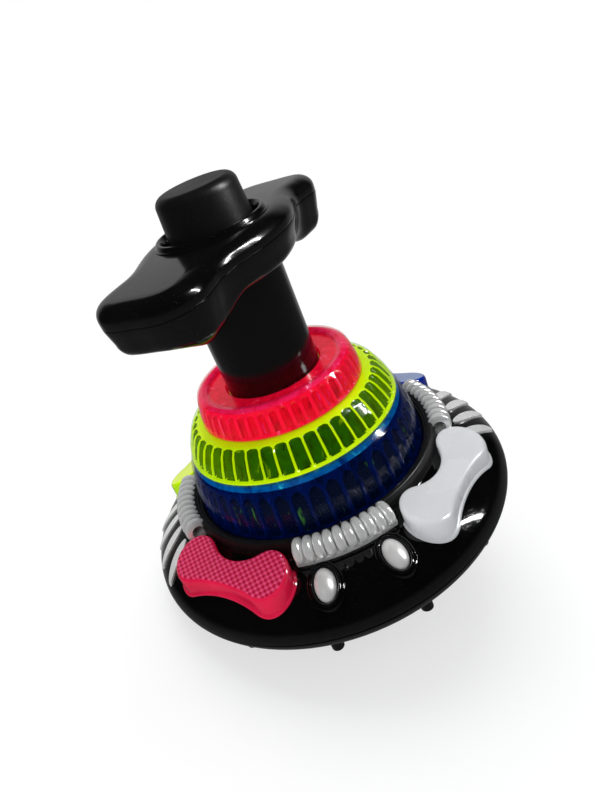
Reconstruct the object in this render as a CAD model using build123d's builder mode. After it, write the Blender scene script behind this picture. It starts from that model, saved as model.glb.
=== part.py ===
"""A light-up spinning top with a push-button launcher.

The spin axis is +Z and the origin is the point of the spin tip. Millimetres.
"""

import os
from math import cos, hypot, radians, sin, sqrt

from build123d import *

os.makedirs("parts", exist_ok=True)

# Driving dimensions of the saucer-shaped body
BASE_R = 45.0
RIM_Z = 24.0
RIM_DEPTH = 15.75
RIM_HEIGHT = 9.0
WALL = 1.8
SEAM_Z = 23.2
SEAM_GAP = 0.25
FLAT_R = BASE_R - RIM_DEPTH
BOTTOM_Z = RIM_Z - RIM_HEIGHT
DECK_Z = 35.0
RING_OUTER_R = 31.05
RING_INNER_R = 28.6
RING_TOP_Z = 37.95
RING_ROUND = 1.35

# Fasteners and the parts inside the body
POST_R = 33.0
POST_OUTER_R = 2.8
SCREW_COUNT = 4
SCREW_R = 1.2
SCREW_HEAD_R = 2.2
SCREW_HEAD_Z = 18.0
SCREW_TOP_Z = 29.0
SMALL_SCREW_R = 0.9
SMALL_HEAD_R = 1.8
SPIGOT_R = 9.2
SOCKET_SCREW_CIRCLE_R = 11.8
SOCKET_SCREW_COUNT = 3
LED_CIRCLE_R = 16.0
LED_COUNT = 3
LED_R = 1.5
BOARD_R = 20.0
BOARD_BOTTOM_Z = 30.0
BOARD_TOP_Z = 31.6
BOARD_SCREW_CIRCLE_R = 17.0
BOARD_SCREW_ANGLE = 30
BOARD_POST_R = 2.4
BOARD_SCREW_GRIP = 3.0

# Feet under the rim, on which the leaning top rests
FOOT_COUNT = 12
FOOT_CIRCLE_R = 39.6
FOOT_R = 1.4
FOOT_BOTTOM_Z = 15.0

# Spin tip
TIP_R = 2.4
TIP_TOP_Z = 12.0

# Underside
BOSS_TOP_R = 11.5
BOSS_FOOT_R = 7.5
BOSS_FOOT_Z = 6.2
TIP_COLLAR_R = 3.6
TIP_COLLAR_TOP_Z = 4.6
TIP_COLLAR_HEIGHT = 1.2
TONGUE_R = 42.4
TONGUE_WALL = 1.2
TONGUE_REACH = 1.3
FOOT_LENGTH = 3.2
TRAY_X = 0.0
TRAY_Y = 19.75
TRAY_LENGTH = 17.8
TRAY_WIDTH = 12.2
TRAY_WALL = 1.0
TRAY_HEIGHT = 7.0
DOOR_X = 2.0
DOOR_LENGTH = 23.6
DOOR_WIDTH = 12.2
DOOR_GAP = 0.15
DOOR_ROUND = 1.0
DOOR_SCREW_X = 11.3
DOOR_BLOCK_HALF = 2.2
DOOR_SCREW_TOP_Z = 22.0
CELL_COUNT = 3
CELL_R = 5.8
CELL_HEIGHT = 5.4
CELL_BUTTON_R = 4.6
CELL_BUTTON_HEIGHT = 0.5
CELL_Z = 23.0
CONTACT_THICKNESS = 0.3
CONTACT_WIDTH = 8.0
CONTACT_LEG_WIDTH = 2.0
SPEAKER_Y = -19.0
SPEAKER_R = 8.5
SPEAKER_HEIGHT = 4.0
SOUND_HOLE_COUNT = 6
SOUND_HOLE_R = 0.8
SOUND_CIRCLE_R = 4.0
CHIP_R = 3.5
CHIP_X = -7.0
CHIP_Y = -3.0
CHIP_HEIGHT = 1.2
SWITCH_X = 9.0
SWITCH_Y = -5.0
SWITCH_R = 2.0
SWITCH_LENGTH = 6.5
LED_BASE_Z = 44.5
LED_HEIGHT = 5.4
LED_LEG = 0.5
LED_LEG_PITCH = 1.6
SOCKET_R = 9.0
SOCKET_FLANGE_R = 14.2
SOCKET_FLANGE_TOP_Z = 37.0
SOCKET_TOP_Z = 58.0
SOCKET_DEPTH = 14.0
SCREW_HEAD_HEIGHT = 1.6
SMALL_HEAD_HEIGHT = 1.2

# Lenses: two round lobes joined by a waist, bent along the rim
LENS_CIRCLE_R = 36.9
LENS_TOP_Z = 35.25
LENS_LOBE_R = 5.3
LENS_LOBE_ANGLE = 16.0
LENS_WAIST = 2.8
LENS_SLOPE = 19.3
LENS_DEPTH = 5.4
LENS_WALL = 1.3
LENS_GAP = 0.1
LENS_AZIMUTHS = {"lens_red": 225, "lens_white": 315, "lens_blue": 45, "lens_yellow": 135}

# Faux springs laid in the corner between the deck ring and the flank
COIL_CIRCLE_R = 32.4
COIL_Z = 36.4
COIL_R = 2.6
COIL_BEADS = 10
COIL_BEAD_HALF_WIDTH = 1.6
COIL_HALF_ANGLE = 17.4
PLINTH_OUTER_R = 34.0
PLINTH_BOTTOM_Z = 32.0
COIL_AZIMUTHS = {"front": 270, "right": 0, "back": 90, "left": 180}

# Oval studs and vents on the flank
STUD_R = 38.4
STUD_LONG = 3.6
STUD_SHORT = 2.3
STUD_SINK = 1.0
STUD_OFFSETS = (-11.0, 12.0)
BEZEL_WIDTH = 0.6
BEZEL_HEIGHT = 0.5
TRIM_GAP = 0.05
COIL_SEAT_MARGIN = 3.2
VENT_CIRCLE_R = 39.8
VENT_LONG = 5.0
VENT_SHORT = 1.3
VENT_SLANT = 35.0
VENT_PITCH = 9.5
VENT_PROUD = 0.5

# Tiers
TIER_HOLE_R = 11.5

# Launcher
BARREL_R = 11.0
BARREL_BORE_R = 9.6
BARREL_BOTTOM_Z = 60.5
BARREL_TOP_Z = 88.0
SHAFT_R = 5.0
SHAFT_GAP = 0.05
HEX_ACROSS_FLATS = 10.6
HEX_GAP = 0.4
HANDLE_AZIMUTH = 54.0
HANDLE_HALF_LENGTH = 32.6
HANDLE_LOBE_HALF_WIDTH = 11.8
HANDLE_WAIST_HALF_WIDTH = 11.3
HUB_R = 16.0
HUB_PARTING_Z = 92.8
TIP_PARTING_Z = 91.7
HUB_TOP_Z = 96.9
TIP_TOP_EDGE_Z = 95.9
COLLAR_OUTER_R = 11.2
COLLAR_INNER_R = 9.75
BUTTON_R = 9.2
BUTTON_TOP_Z = 105.9
BUTTON_TAPER = 0.6
BUTTON_ROUND = 1.9
BUTTON_WALL = 1.2
BUTTON_FLANGE_R = 10.6
BUTTON_FLANGE_TOP_Z = 92.6
BUTTON_SEAT_Z = 93.0
STEM_R = 3.4
STEM_FLANGE_R = 5.2
ROD_R = 1.5
ROD_BOTTOM_Z = 47.5
ROD_TOP_Z = 97.0
PLUG_BOTTOM_Z = 45.0
ROTOR_COLLAR_Z = 58.5
ROTOR_COLLAR_R = 8.5
ROTOR_COLLAR_HEIGHT = 1.7
WHEEL_Z = 66.0
WHEEL_THICKNESS = 3.0
WHEEL_TEETH = 12
WHEEL_ROOT_R = 6.2
WHEEL_TIP_R = 7.2
PAWL_GAP = 0.15
SPINDLE_R = 3.0
SPINDLE_TOP_Z = 77.5
BUSH_HEIGHT = 4.0
BARREL_FLANGE_R = 12.6
BARREL_FLANGE_HEIGHT = 1.2
SEAT_TOP_Z = 80.0
SEAT_HEIGHT = 1.5
COLLAR_BOTTOM_Z = 93.2
COLLAR_LIP_R = 12.0
COLLAR_LIP_Z = 96.9
COLLAR_TOP_Z = 97.9
HANDLE_LOBE_X = 21.6
HANDLE_LOBE_ROUND = 8.0
HANDLE_WAIST_ROUND = 4.0
HANDLE_ROUND = 3.2
LOBE_BOTTOM_Z = 83.6
HUB_BOTTOM_Z = 86.2
HANDLE_SCREW_X = 22.0
HANDLE_POST_Z = 88.0
HANDLE_HEAD_Z = 86.2
HANDLE_SCREW_TOP_Z = 92.0
HANDLE_POST_TOP_Z = 94.6


def flank_z(r):
    """Height of the upper flank at radius r."""
    share = (r - FLAT_R) / RIM_DEPTH
    return RIM_Z + RIM_HEIGHT * sqrt(1 - share * share)


def polar(r, azimuth):
    return (r * cos(radians(azimuth)), r * sin(radians(azimuth)))


def flank_plane(r, azimuth):
    """A plane on the upper flank: x down the slope, z out of the surface."""
    slope = (RIM_HEIGHT / RIM_DEPTH) ** 2 * (r - FLAT_R) / (flank_z(r) - RIM_Z)
    x, y = polar(1.0, azimuth)
    origin = (r * x, r * y, flank_z(r))
    return Plane(origin=origin, x_dir=(x, y, -slope), z_dir=(slope * x, slope * y, 1))


def lens_outline(azimuth, grow=0.0):
    """Two lobes on the lens circle and the two arcs of the waist, tangent to both."""
    lobe_r = LENS_LOBE_R + grow
    half = radians(LENS_LOBE_ANGLE)
    lobe_x = LENS_CIRCLE_R * cos(half)
    lobe_y = LENS_CIRCLE_R * sin(half)
    joints = []
    for side in (1, -1):
        waist_x = LENS_CIRCLE_R + side * (LENS_WAIST + grow)
        step = side * (waist_x - lobe_x)
        arc_r = (step * step + lobe_y * lobe_y - lobe_r * lobe_r) / (2 * (lobe_r - step))
        centre_x = waist_x + side * arc_r
        reach = hypot(centre_x - lobe_x, lobe_y)
        touch_x = lobe_x + lobe_r * (centre_x - lobe_x) / reach
        touch_y = lobe_y - lobe_r * lobe_y / reach
        joints.append((waist_x, touch_x, touch_y))
    (outer_x, outer_touch_x, outer_touch_y), (inner_x, inner_touch_x, inner_touch_y) = joints
    far = (lobe_x - lobe_r * sin(half), lobe_y + lobe_r * cos(half))
    with BuildSketch(Plane.XY, mode=Mode.PRIVATE) as outline:
        with BuildLine(Plane.XY):
            ThreePointArc((outer_touch_x, -outer_touch_y), (outer_x, 0), (outer_touch_x, outer_touch_y))
            ThreePointArc((outer_touch_x, outer_touch_y), far, (inner_touch_x, inner_touch_y))
            ThreePointArc((inner_touch_x, inner_touch_y), (inner_x, 0), (inner_touch_x, -inner_touch_y))
            ThreePointArc(
                (inner_touch_x, -inner_touch_y),
                (far[0], -far[1]),
                (outer_touch_x, -outer_touch_y),
            )
        make_face()
    return outline.sketch.rotate(Axis.Z, azimuth)


def lens_plane(azimuth, depth=0.0):
    """The sloping top face of a lens, or a plane at a depth under it."""
    x, y = polar(1.0, azimuth)
    tilt = radians(LENS_SLOPE)
    normal = Vector(sin(tilt) * x, sin(tilt) * y, cos(tilt))
    top = Vector(LENS_CIRCLE_R * x, LENS_CIRCLE_R * y, LENS_TOP_Z)
    return Plane(origin=top - normal * depth, z_dir=normal)


def finish(builder, name):
    builder.part.label = name
    export_step(builder.part, f"parts/{name}.step")


# Lenses: hollow caps that plug into windows in the flank
for lens_name, lens_azimuth in LENS_AZIMUTHS.items():
    with BuildPart() as hollow:
        extrude(Pos(0, 0, RIM_Z) * lens_outline(lens_azimuth, -LENS_WALL), amount=20)
        split(bisect_by=lens_plane(lens_azimuth, LENS_WALL), keep=Keep.BOTTOM)
    with BuildPart() as lens:
        extrude(Pos(0, 0, RIM_Z) * lens_outline(lens_azimuth), amount=20)
        split(bisect_by=lens_plane(lens_azimuth), keep=Keep.BOTTOM)
        split(bisect_by=lens_plane(lens_azimuth, LENS_DEPTH), keep=Keep.TOP)
        add(hollow.part, mode=Mode.SUBTRACT)
    finish(lens, lens_name)

# Faux springs: fat beads side by side, on a plinth that plugs into the shell
bead_pitch = 2 * COIL_HALF_ANGLE / (COIL_BEADS - 1)
with BuildPart() as bead:
    with BuildSketch(Plane.XY.offset(COIL_Z)):
        with Locations((COIL_CIRCLE_R, 0)):
            Ellipse(COIL_R, COIL_BEAD_HALF_WIDTH)
        with Locations((COIL_CIRCLE_R - COIL_R, 0)):
            Rectangle(2 * COIL_R, 2 * COIL_R, mode=Mode.SUBTRACT)
    revolve(axis=Axis((COIL_CIRCLE_R, 0, COIL_Z), (0, 1, 0)))
    with BuildSketch(Plane.XZ.rotated((0, 0, -bead_pitch))):
        with BuildLine():
            Polyline(
                (RING_OUTER_R, PLINTH_BOTTOM_Z),
                (PLINTH_OUTER_R, PLINTH_BOTTOM_Z),
                (PLINTH_OUTER_R, COIL_Z - 1.0),
                (RING_OUTER_R, COIL_Z - 1.0),
                close=True,
            )
        make_face()
    revolve(axis=Axis.Z, revolution_arc=2 * bead_pitch)
    split(bisect_by=Plane.XZ.rotated((0, 0, bead_pitch / 2)), keep=Keep.TOP)
    split(bisect_by=Plane.XZ.rotated((0, 0, -bead_pitch / 2)), keep=Keep.BOTTOM)
with BuildPart() as bead_row:
    for number in range(COIL_BEADS):
        add(bead.part.rotate(Axis.Z, number * bead_pitch - COIL_HALF_ANGLE))
for side, middle in COIL_AZIMUTHS.items():
    with BuildPart() as coil:
        add(bead_row.part.rotate(Axis.Z, middle))
    finish(coil, f"coil_trim_{side}")

# Oval studs: the upper part of an egg, let into the flank
with BuildPart() as egg:
    Sphere(1)
    scale(by=(STUD_LONG, STUD_SHORT, STUD_SHORT))
    with Locations((0, 0, STUD_LONG - STUD_SINK)):
        Box(4 * STUD_LONG, 4 * STUD_LONG, 2 * STUD_LONG, mode=Mode.INTERSECT)
for side in ("front", "back"):
    for number, offset in enumerate(STUD_OFFSETS, 1):
        with BuildPart() as stud:
            add(egg.part.moved(flank_plane(STUD_R, COIL_AZIMUTHS[side] + offset).location))
        finish(stud, f"oval_stud_{side}_{number}")

# Vents: four slanted leaves on each side, a skin that follows the flank
with BuildPart() as flank_skin:
    with BuildSketch(Plane.XZ):
        Ellipse(RIM_DEPTH + VENT_PROUD, RIM_HEIGHT + VENT_PROUD)
        Ellipse(RIM_DEPTH - STUD_SINK, RIM_HEIGHT - STUD_SINK, mode=Mode.SUBTRACT)
        with Locations((-RIM_DEPTH, 0)):
            Rectangle(2 * RIM_DEPTH, 4 * RIM_HEIGHT, mode=Mode.SUBTRACT)
        with Locations((0, -2 * RIM_HEIGHT)):
            Rectangle(4 * RIM_DEPTH, 4 * RIM_HEIGHT, mode=Mode.SUBTRACT)
    revolve(axis=Axis((-FLAT_R, 0, 0), (0, 0, 1)))
flank_band = flank_skin.part.moved(Location((FLAT_R, 0, RIM_Z)))
vents = []
for side in ("right", "left"):
    with BuildPart() as vent:
        for leaf in range(4):
            azimuth = COIL_AZIMUTHS[side] + (leaf - 1.5) * VENT_PITCH
            x, y = polar(VENT_CIRCLE_R, azimuth)
            with BuildSketch(Plane.XY.offset(RIM_Z)):
                with Locations(Location((x, y, 0), (0, 0, azimuth + VENT_SLANT))):
                    Ellipse(VENT_LONG, VENT_SHORT)
            extrude(amount=20)
        add(flank_band, mode=Mode.INTERSECT)
    vents.append(vent.part)
    finish(vent, f"vent_trim_{side}")

# Upper shell: the glossy flank, the deck ring and the deck that carries the tiers
with BuildPart() as upper_shell:
    with BuildSketch(Plane.XZ):
        with BuildLine():
            seam_outer_r = FLAT_R + RIM_DEPTH * sqrt(1 - ((RIM_Z - SEAM_Z) / RIM_HEIGHT) ** 2)
            Polyline(
                (0, SEAM_Z),
                (seam_outer_r, SEAM_Z),
                (seam_outer_r, RIM_Z),
                (0, RIM_Z),
                close=True,
            )
        make_face()
        with Locations((FLAT_R, RIM_Z)):
            Ellipse(RIM_DEPTH, RIM_HEIGHT)
        with BuildLine():
            Polyline(
                (0, RIM_Z),
                (FLAT_R, RIM_Z),
                (FLAT_R, RIM_Z + RIM_HEIGHT),
                (0, RIM_Z + RIM_HEIGHT),
                close=True,
            )
        make_face()
        with BuildLine():
            Line((0, BOTTOM_Z + WALL), (0, RING_TOP_Z))
            Line((0, RING_TOP_Z), (RING_OUTER_R - RING_ROUND, RING_TOP_Z))
            RadiusArc(
                (RING_OUTER_R - RING_ROUND, RING_TOP_Z),
                (RING_OUTER_R, RING_TOP_Z - RING_ROUND),
                RING_ROUND,
            )
            Line((RING_OUTER_R, RING_TOP_Z - RING_ROUND), (RING_OUTER_R, BOTTOM_Z + WALL))
            Line((RING_OUTER_R, BOTTOM_Z + WALL), (0, BOTTOM_Z + WALL))
        make_face()
        with Locations((0, SEAM_Z / 2)):
            Rectangle(4 * BASE_R, SEAM_Z, mode=Mode.SUBTRACT)
        with Locations((-BASE_R, RIM_Z)):
            Rectangle(2 * BASE_R, 2 * BASE_R, mode=Mode.SUBTRACT)
        with Locations((FLAT_R, RIM_Z)):
            Ellipse(RIM_DEPTH - WALL, RIM_HEIGHT - WALL, mode=Mode.SUBTRACT)
        with BuildLine():
            Polyline(
                (0, 0),
                (FLAT_R, 0),
                (FLAT_R, RIM_Z + RIM_HEIGHT - WALL),
                (FLAT_R - WALL, DECK_Z - WALL),
                (0, DECK_Z - WALL),
                close=True,
            )
        make_face(mode=Mode.SUBTRACT)
        with Locations((0, DECK_Z + BASE_R)):
            Rectangle(2 * RING_INNER_R, 2 * BASE_R, mode=Mode.SUBTRACT)
    revolve(axis=Axis.Z)
    # Centre hole for the socket's spigot, holes for the lamp legs and for the socket's screws
    with BuildSketch(Plane.XY.offset(DECK_Z)):
        Circle(SPIGOT_R)
        with PolarLocations(LED_CIRCLE_R, LED_COUNT):
            Circle(LED_R + 0.2)
        with PolarLocations(SOCKET_SCREW_CIRCLE_R, SOCKET_SCREW_COUNT, start_angle=60):
            Circle(SMALL_SCREW_R)
    extrude(amount=-2 * WALL, mode=Mode.SUBTRACT)
    # Posts for the shell screws and for the circuit board
    with BuildSketch(Plane.XY.offset(RIM_Z)):
        with PolarLocations(POST_R, SCREW_COUNT):
            Circle(POST_OUTER_R)
    extrude(amount=flank_z(POST_R + POST_OUTER_R) - RIM_Z - 0.3)
    with BuildSketch(Plane.XY.offset(BOARD_TOP_Z)):
        with PolarLocations(BOARD_SCREW_CIRCLE_R, 2, start_angle=BOARD_SCREW_ANGLE):
            Circle(BOARD_POST_R)
    extrude(amount=DECK_Z - WALL - BOARD_TOP_Z)
    with BuildSketch(Plane.XY.offset(RIM_Z)):
        with PolarLocations(POST_R, SCREW_COUNT):
            Circle(SCREW_R)
    extrude(amount=SCREW_TOP_Z - RIM_Z + 0.5, mode=Mode.SUBTRACT)
    with BuildSketch(Plane.XY.offset(BOARD_TOP_Z)):
        with PolarLocations(BOARD_SCREW_CIRCLE_R, 2, start_angle=BOARD_SCREW_ANGLE):
            Circle(SMALL_SCREW_R)
    extrude(amount=BOARD_SCREW_GRIP, mode=Mode.SUBTRACT)
    # Raised bezels round the oval studs
    for side in ("front", "back"):
        for offset in STUD_OFFSETS:
            with BuildSketch(flank_plane(STUD_R, COIL_AZIMUTHS[side] + offset)):
                Ellipse(STUD_LONG + BEZEL_WIDTH, STUD_SHORT + BEZEL_WIDTH)
            extrude(amount=BEZEL_HEIGHT)
            with BuildSketch(flank_plane(STUD_R, COIL_AZIMUTHS[side] + offset)):
                Ellipse(STUD_LONG + BEZEL_WIDTH, STUD_SHORT + BEZEL_WIDTH)
            extrude(amount=-STUD_SINK)
    # Seats for the studs, vents, springs and lenses
    for side in ("front", "back"):
        for offset in STUD_OFFSETS:
            with BuildSketch(flank_plane(STUD_R, COIL_AZIMUTHS[side] + offset).offset(-STUD_SINK)):
                Ellipse(STUD_LONG + TRIM_GAP, STUD_SHORT + TRIM_GAP)
            extrude(amount=STUD_SINK + 2 * BEZEL_HEIGHT, mode=Mode.SUBTRACT)
    for vent_part in vents:
        add(vent_part, mode=Mode.SUBTRACT)
    for middle in COIL_AZIMUTHS.values():
        with BuildSketch(Plane.XZ.rotated((0, 0, middle - COIL_HALF_ANGLE - COIL_SEAT_MARGIN))):
            with Locations((COIL_CIRCLE_R, COIL_Z)):
                Circle(COIL_R + TRIM_GAP)
            with BuildLine():
                Polyline(
                    (RING_OUTER_R - TRIM_GAP, PLINTH_BOTTOM_Z),
                    (PLINTH_OUTER_R + TRIM_GAP, PLINTH_BOTTOM_Z),
                    (PLINTH_OUTER_R + TRIM_GAP, COIL_Z),
                    (RING_OUTER_R - TRIM_GAP, COIL_Z),
                    close=True,
                )
            make_face()
        revolve(
            axis=Axis.Z,
            revolution_arc=2 * (COIL_HALF_ANGLE + COIL_SEAT_MARGIN),
            mode=Mode.SUBTRACT,
        )
    for lens_azimuth in LENS_AZIMUTHS.values():
        extrude(
            Pos(0, 0, RIM_Z) * lens_outline(lens_azimuth, LENS_GAP),
            amount=20,
            mode=Mode.SUBTRACT,
        )
finish(upper_shell, "upper_shell")

# Lower shell: the underside, its feet, the battery tray and the boss of the spin tip
with BuildPart() as lower_shell:
    with BuildSketch(Plane.XZ):
        with Locations((FLAT_R, RIM_Z)):
            Ellipse(RIM_DEPTH, RIM_HEIGHT)
        with Locations((FLAT_R / 2, RIM_Z)):
            Rectangle(FLAT_R, 2 * RIM_HEIGHT)
        with Locations((0, RIM_Z + BASE_R - SEAM_GAP)):
            Rectangle(4 * BASE_R, 2 * (BASE_R + RIM_Z - SEAM_Z), mode=Mode.SUBTRACT)
        with Locations((FLAT_R, RIM_Z)):
            Ellipse(RIM_DEPTH - WALL, RIM_HEIGHT - WALL, mode=Mode.SUBTRACT)
        with Locations((0, RIM_Z)):
            Rectangle(2 * FLAT_R, 2 * (RIM_HEIGHT - WALL), mode=Mode.SUBTRACT)
        with BuildLine():
            Polyline(
                (0, TIP_TOP_Z),
                (0, BOTTOM_Z + WALL),
                (BOSS_TOP_R, BOTTOM_Z + WALL),
                (BOSS_TOP_R, BOTTOM_Z),
                (BOSS_FOOT_R, BOSS_FOOT_Z),
                (TIP_COLLAR_R, TIP_COLLAR_TOP_Z),
                (TIP_R, TIP_COLLAR_TOP_Z),
                (TIP_R, TIP_TOP_Z),
                close=True,
            )
        make_face()
        with Locations((TONGUE_R, SEAM_Z)):
            Rectangle(TONGUE_WALL, 2 * TONGUE_REACH)
    revolve(axis=Axis.Z)
    with BuildSketch(Plane.XY.offset(FOOT_BOTTOM_Z)):
        with PolarLocations(FOOT_CIRCLE_R, FOOT_COUNT, start_angle=180 / FOOT_COUNT):
            Circle(FOOT_R)
    extrude(amount=FOOT_LENGTH)
    # Screw posts
    with BuildSketch(Plane.XY.offset(BOTTOM_Z + WALL)):
        with PolarLocations(POST_R, SCREW_COUNT):
            Circle(POST_OUTER_R)
    extrude(amount=RIM_Z - BOTTOM_Z - WALL)
    with BuildSketch(Plane.XY.offset(BOTTOM_Z)):
        with PolarLocations(POST_R, SCREW_COUNT):
            Circle(SCREW_HEAD_R + 0.2)
    extrude(amount=SCREW_HEAD_Z - BOTTOM_Z, mode=Mode.SUBTRACT)
    with BuildSketch(Plane.XY.offset(BOTTOM_Z)):
        with PolarLocations(POST_R, SCREW_COUNT):
            Circle(SCREW_R)
    extrude(amount=RIM_Z - BOTTOM_Z, mode=Mode.SUBTRACT)
    # Battery tray with the block that takes the door's screw
    with BuildSketch(Plane.XY.offset(BOTTOM_Z + WALL)):
        with Locations((TRAY_X, TRAY_Y)):
            Rectangle(TRAY_LENGTH + 2 * TRAY_WALL, TRAY_WIDTH + 2 * TRAY_WALL)
            Rectangle(TRAY_LENGTH, TRAY_WIDTH, mode=Mode.SUBTRACT)
        with Locations((DOOR_SCREW_X, TRAY_Y)):
            Rectangle(2 * DOOR_BLOCK_HALF, 2 * DOOR_BLOCK_HALF)
    extrude(amount=TRAY_HEIGHT)
    with BuildSketch(Plane.XY.offset(BOTTOM_Z)):
        with Locations((DOOR_X, TRAY_Y)):
            RectangleRounded(DOOR_LENGTH + 2 * DOOR_GAP, DOOR_WIDTH + 2 * DOOR_GAP, DOOR_ROUND)
    extrude(amount=WALL, mode=Mode.SUBTRACT)
    with BuildSketch(Plane.XY.offset(BOTTOM_Z)):
        with Locations((DOOR_SCREW_X, TRAY_Y)):
            Circle(SMALL_SCREW_R)
    extrude(amount=DOOR_SCREW_TOP_Z + 0.5 - BOTTOM_Z, mode=Mode.SUBTRACT)
    # Sound holes under the speaker
    with BuildSketch(Plane.XY.offset(BOTTOM_Z)):
        with Locations((0, SPEAKER_Y)):
            with PolarLocations(SOUND_CIRCLE_R, SOUND_HOLE_COUNT):
                Circle(SOUND_HOLE_R)
            Circle(SOUND_HOLE_R)
    extrude(amount=WALL, mode=Mode.SUBTRACT)
finish(lower_shell, "lower_shell")

with BuildPart() as spin_tip:
    with BuildSketch(Plane.XZ):
        with Locations((0, TIP_R)):
            Circle(TIP_R)
        with Locations((0, (TIP_R + TIP_TOP_Z) / 2)):
            Rectangle(2 * TIP_R, TIP_TOP_Z - TIP_R)
        with Locations((0, TIP_COLLAR_TOP_Z - TIP_COLLAR_HEIGHT / 2)):
            Rectangle(2 * TIP_COLLAR_R, TIP_COLLAR_HEIGHT)
        with Locations((-BASE_R, 0)):
            Rectangle(2 * BASE_R, 2 * BASE_R, mode=Mode.SUBTRACT)
    revolve(axis=Axis.Z)
finish(spin_tip, "spin_tip")


def ring_of(profile):
    """A ring turned from a closed outline of (radius, height) points."""
    with BuildPart() as ring:
        with BuildSketch(Plane.XZ):
            with BuildLine():
                Polyline(*profile, close=True)
            make_face()
        revolve(axis=Axis.Z)
    return ring


def screw_group(builder_plane, places, shank_r, head_r, head_height, length):
    """Round-headed screws standing on their heads, each with a cross recess."""
    with BuildPart() as screws:
        with BuildSketch(builder_plane):
            with Locations(places):
                Circle(head_r)
        extrude(amount=head_height)
        with BuildSketch(builder_plane):
            with Locations(places):
                Circle(shank_r)
        extrude(amount=length)
        with BuildSketch(builder_plane):
            with Locations(places):
                Rectangle(1.2 * head_r, 0.3 * head_r)
                Rectangle(0.3 * head_r, 1.2 * head_r)
        extrude(amount=0.5 * head_height, mode=Mode.SUBTRACT)
    return screws


def on_circle(r, count, first=0.0):
    return [polar(r, first + 360 * number / count) for number in range(count)]


shell_screws = screw_group(
    Plane.XY.offset(SCREW_HEAD_Z - SCREW_HEAD_HEIGHT),
    on_circle(POST_R, SCREW_COUNT),
    SCREW_R,
    SCREW_HEAD_R,
    SCREW_HEAD_HEIGHT,
    SCREW_TOP_Z - SCREW_HEAD_Z + SCREW_HEAD_HEIGHT,
)
finish(shell_screws, "shell_screws")

# Battery door, flush with the flat underside, and its screw
with BuildPart() as battery_door:
    with BuildSketch(Plane.XY.offset(BOTTOM_Z)):
        with Locations((DOOR_X, TRAY_Y)):
            RectangleRounded(DOOR_LENGTH, DOOR_WIDTH, DOOR_ROUND)
    extrude(amount=WALL)
    with BuildSketch(Plane.XY.offset(BOTTOM_Z)):
        with GridLocations(1.6, 0, 4, 1):
            with Locations((DOOR_X - 5, TRAY_Y)):
                Rectangle(0.6, 0.6 * DOOR_WIDTH)
    extrude(amount=0.4, mode=Mode.SUBTRACT)
    with BuildSketch(Plane.XY.offset(BOTTOM_Z)):
        with Locations((DOOR_SCREW_X, TRAY_Y)):
            Circle(SMALL_HEAD_R + 0.1)
    extrude(amount=SMALL_HEAD_HEIGHT, mode=Mode.SUBTRACT)
    with BuildSketch(Plane.XY.offset(BOTTOM_Z)):
        with Locations((DOOR_SCREW_X, TRAY_Y)):
            Circle(SMALL_SCREW_R + 0.1)
    extrude(amount=WALL, mode=Mode.SUBTRACT)
finish(battery_door, "battery_door")

door_screw = screw_group(
    Plane.XY.offset(BOTTOM_Z),
    [(DOOR_SCREW_X, TRAY_Y)],
    SMALL_SCREW_R,
    SMALL_HEAD_R,
    SMALL_HEAD_HEIGHT,
    DOOR_SCREW_TOP_Z - BOTTOM_Z,
)
finish(door_screw, "door_screw")

# Three button cells in a row, lying on their rims in the tray
with BuildPart() as battery_cells:
    for number in range(CELL_COUNT):
        left_x = TRAY_X - CELL_COUNT * CELL_HEIGHT / 2 + number * CELL_HEIGHT
        with BuildSketch(Plane.YZ.offset(left_x)):
            with Locations((TRAY_Y, CELL_Z)):
                Circle(CELL_R)
        extrude(amount=CELL_HEIGHT - CELL_BUTTON_HEIGHT)
        with BuildSketch(Plane.YZ.offset(left_x)):
            with Locations((TRAY_Y, CELL_Z)):
                Circle(CELL_BUTTON_R)
        extrude(amount=CELL_HEIGHT)
finish(battery_cells, "battery_cells")

# Contacts: a plate at each end of the row of cells, with a leg up to the board
with BuildPart() as battery_contacts:
    for side in (1, -1):
        plate_x = TRAY_X + side * (CELL_COUNT * CELL_HEIGHT / 2 + CONTACT_THICKNESS)
        with Locations((plate_x, TRAY_Y, CELL_Z)):
            Box(CONTACT_THICKNESS, CONTACT_WIDTH, CONTACT_WIDTH)
        with Locations((plate_x, TRAY_Y, (CELL_Z + BOARD_BOTTOM_Z) / 2)):
            Box(CONTACT_THICKNESS, CONTACT_LEG_WIDTH, BOARD_BOTTOM_Z - CELL_Z)
finish(battery_contacts, "battery_contacts")

# Circuit board under the deck, with what it carries
with BuildPart() as circuit_board:
    with BuildSketch(Plane.XY.offset(BOARD_BOTTOM_Z)):
        Circle(BOARD_R)
        with PolarLocations(BOARD_SCREW_CIRCLE_R, 2, start_angle=BOARD_SCREW_ANGLE):
            Circle(SMALL_SCREW_R + 0.1, mode=Mode.SUBTRACT)
    extrude(amount=BOARD_TOP_Z - BOARD_BOTTOM_Z)
finish(circuit_board, "circuit_board")

board_screws = screw_group(
    Plane.XY.offset(BOARD_BOTTOM_Z - SMALL_HEAD_HEIGHT),
    on_circle(BOARD_SCREW_CIRCLE_R, 2, BOARD_SCREW_ANGLE),
    SMALL_SCREW_R,
    SMALL_HEAD_R,
    SMALL_HEAD_HEIGHT,
    SMALL_HEAD_HEIGHT + BOARD_TOP_Z - BOARD_BOTTOM_Z + BOARD_SCREW_GRIP - 0.5,
)
finish(board_screws, "board_screws")

with BuildPart() as chip_blob:
    with BuildSketch(Plane.XY.offset(BOARD_BOTTOM_Z)):
        with Locations((CHIP_X, CHIP_Y)):
            Circle(CHIP_R)
    extrude(amount=-CHIP_HEIGHT)
    fillet(chip_blob.faces().sort_by(Axis.Z)[0].edges(), 0.6 * CHIP_HEIGHT)
finish(chip_blob, "chip_blob")

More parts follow.
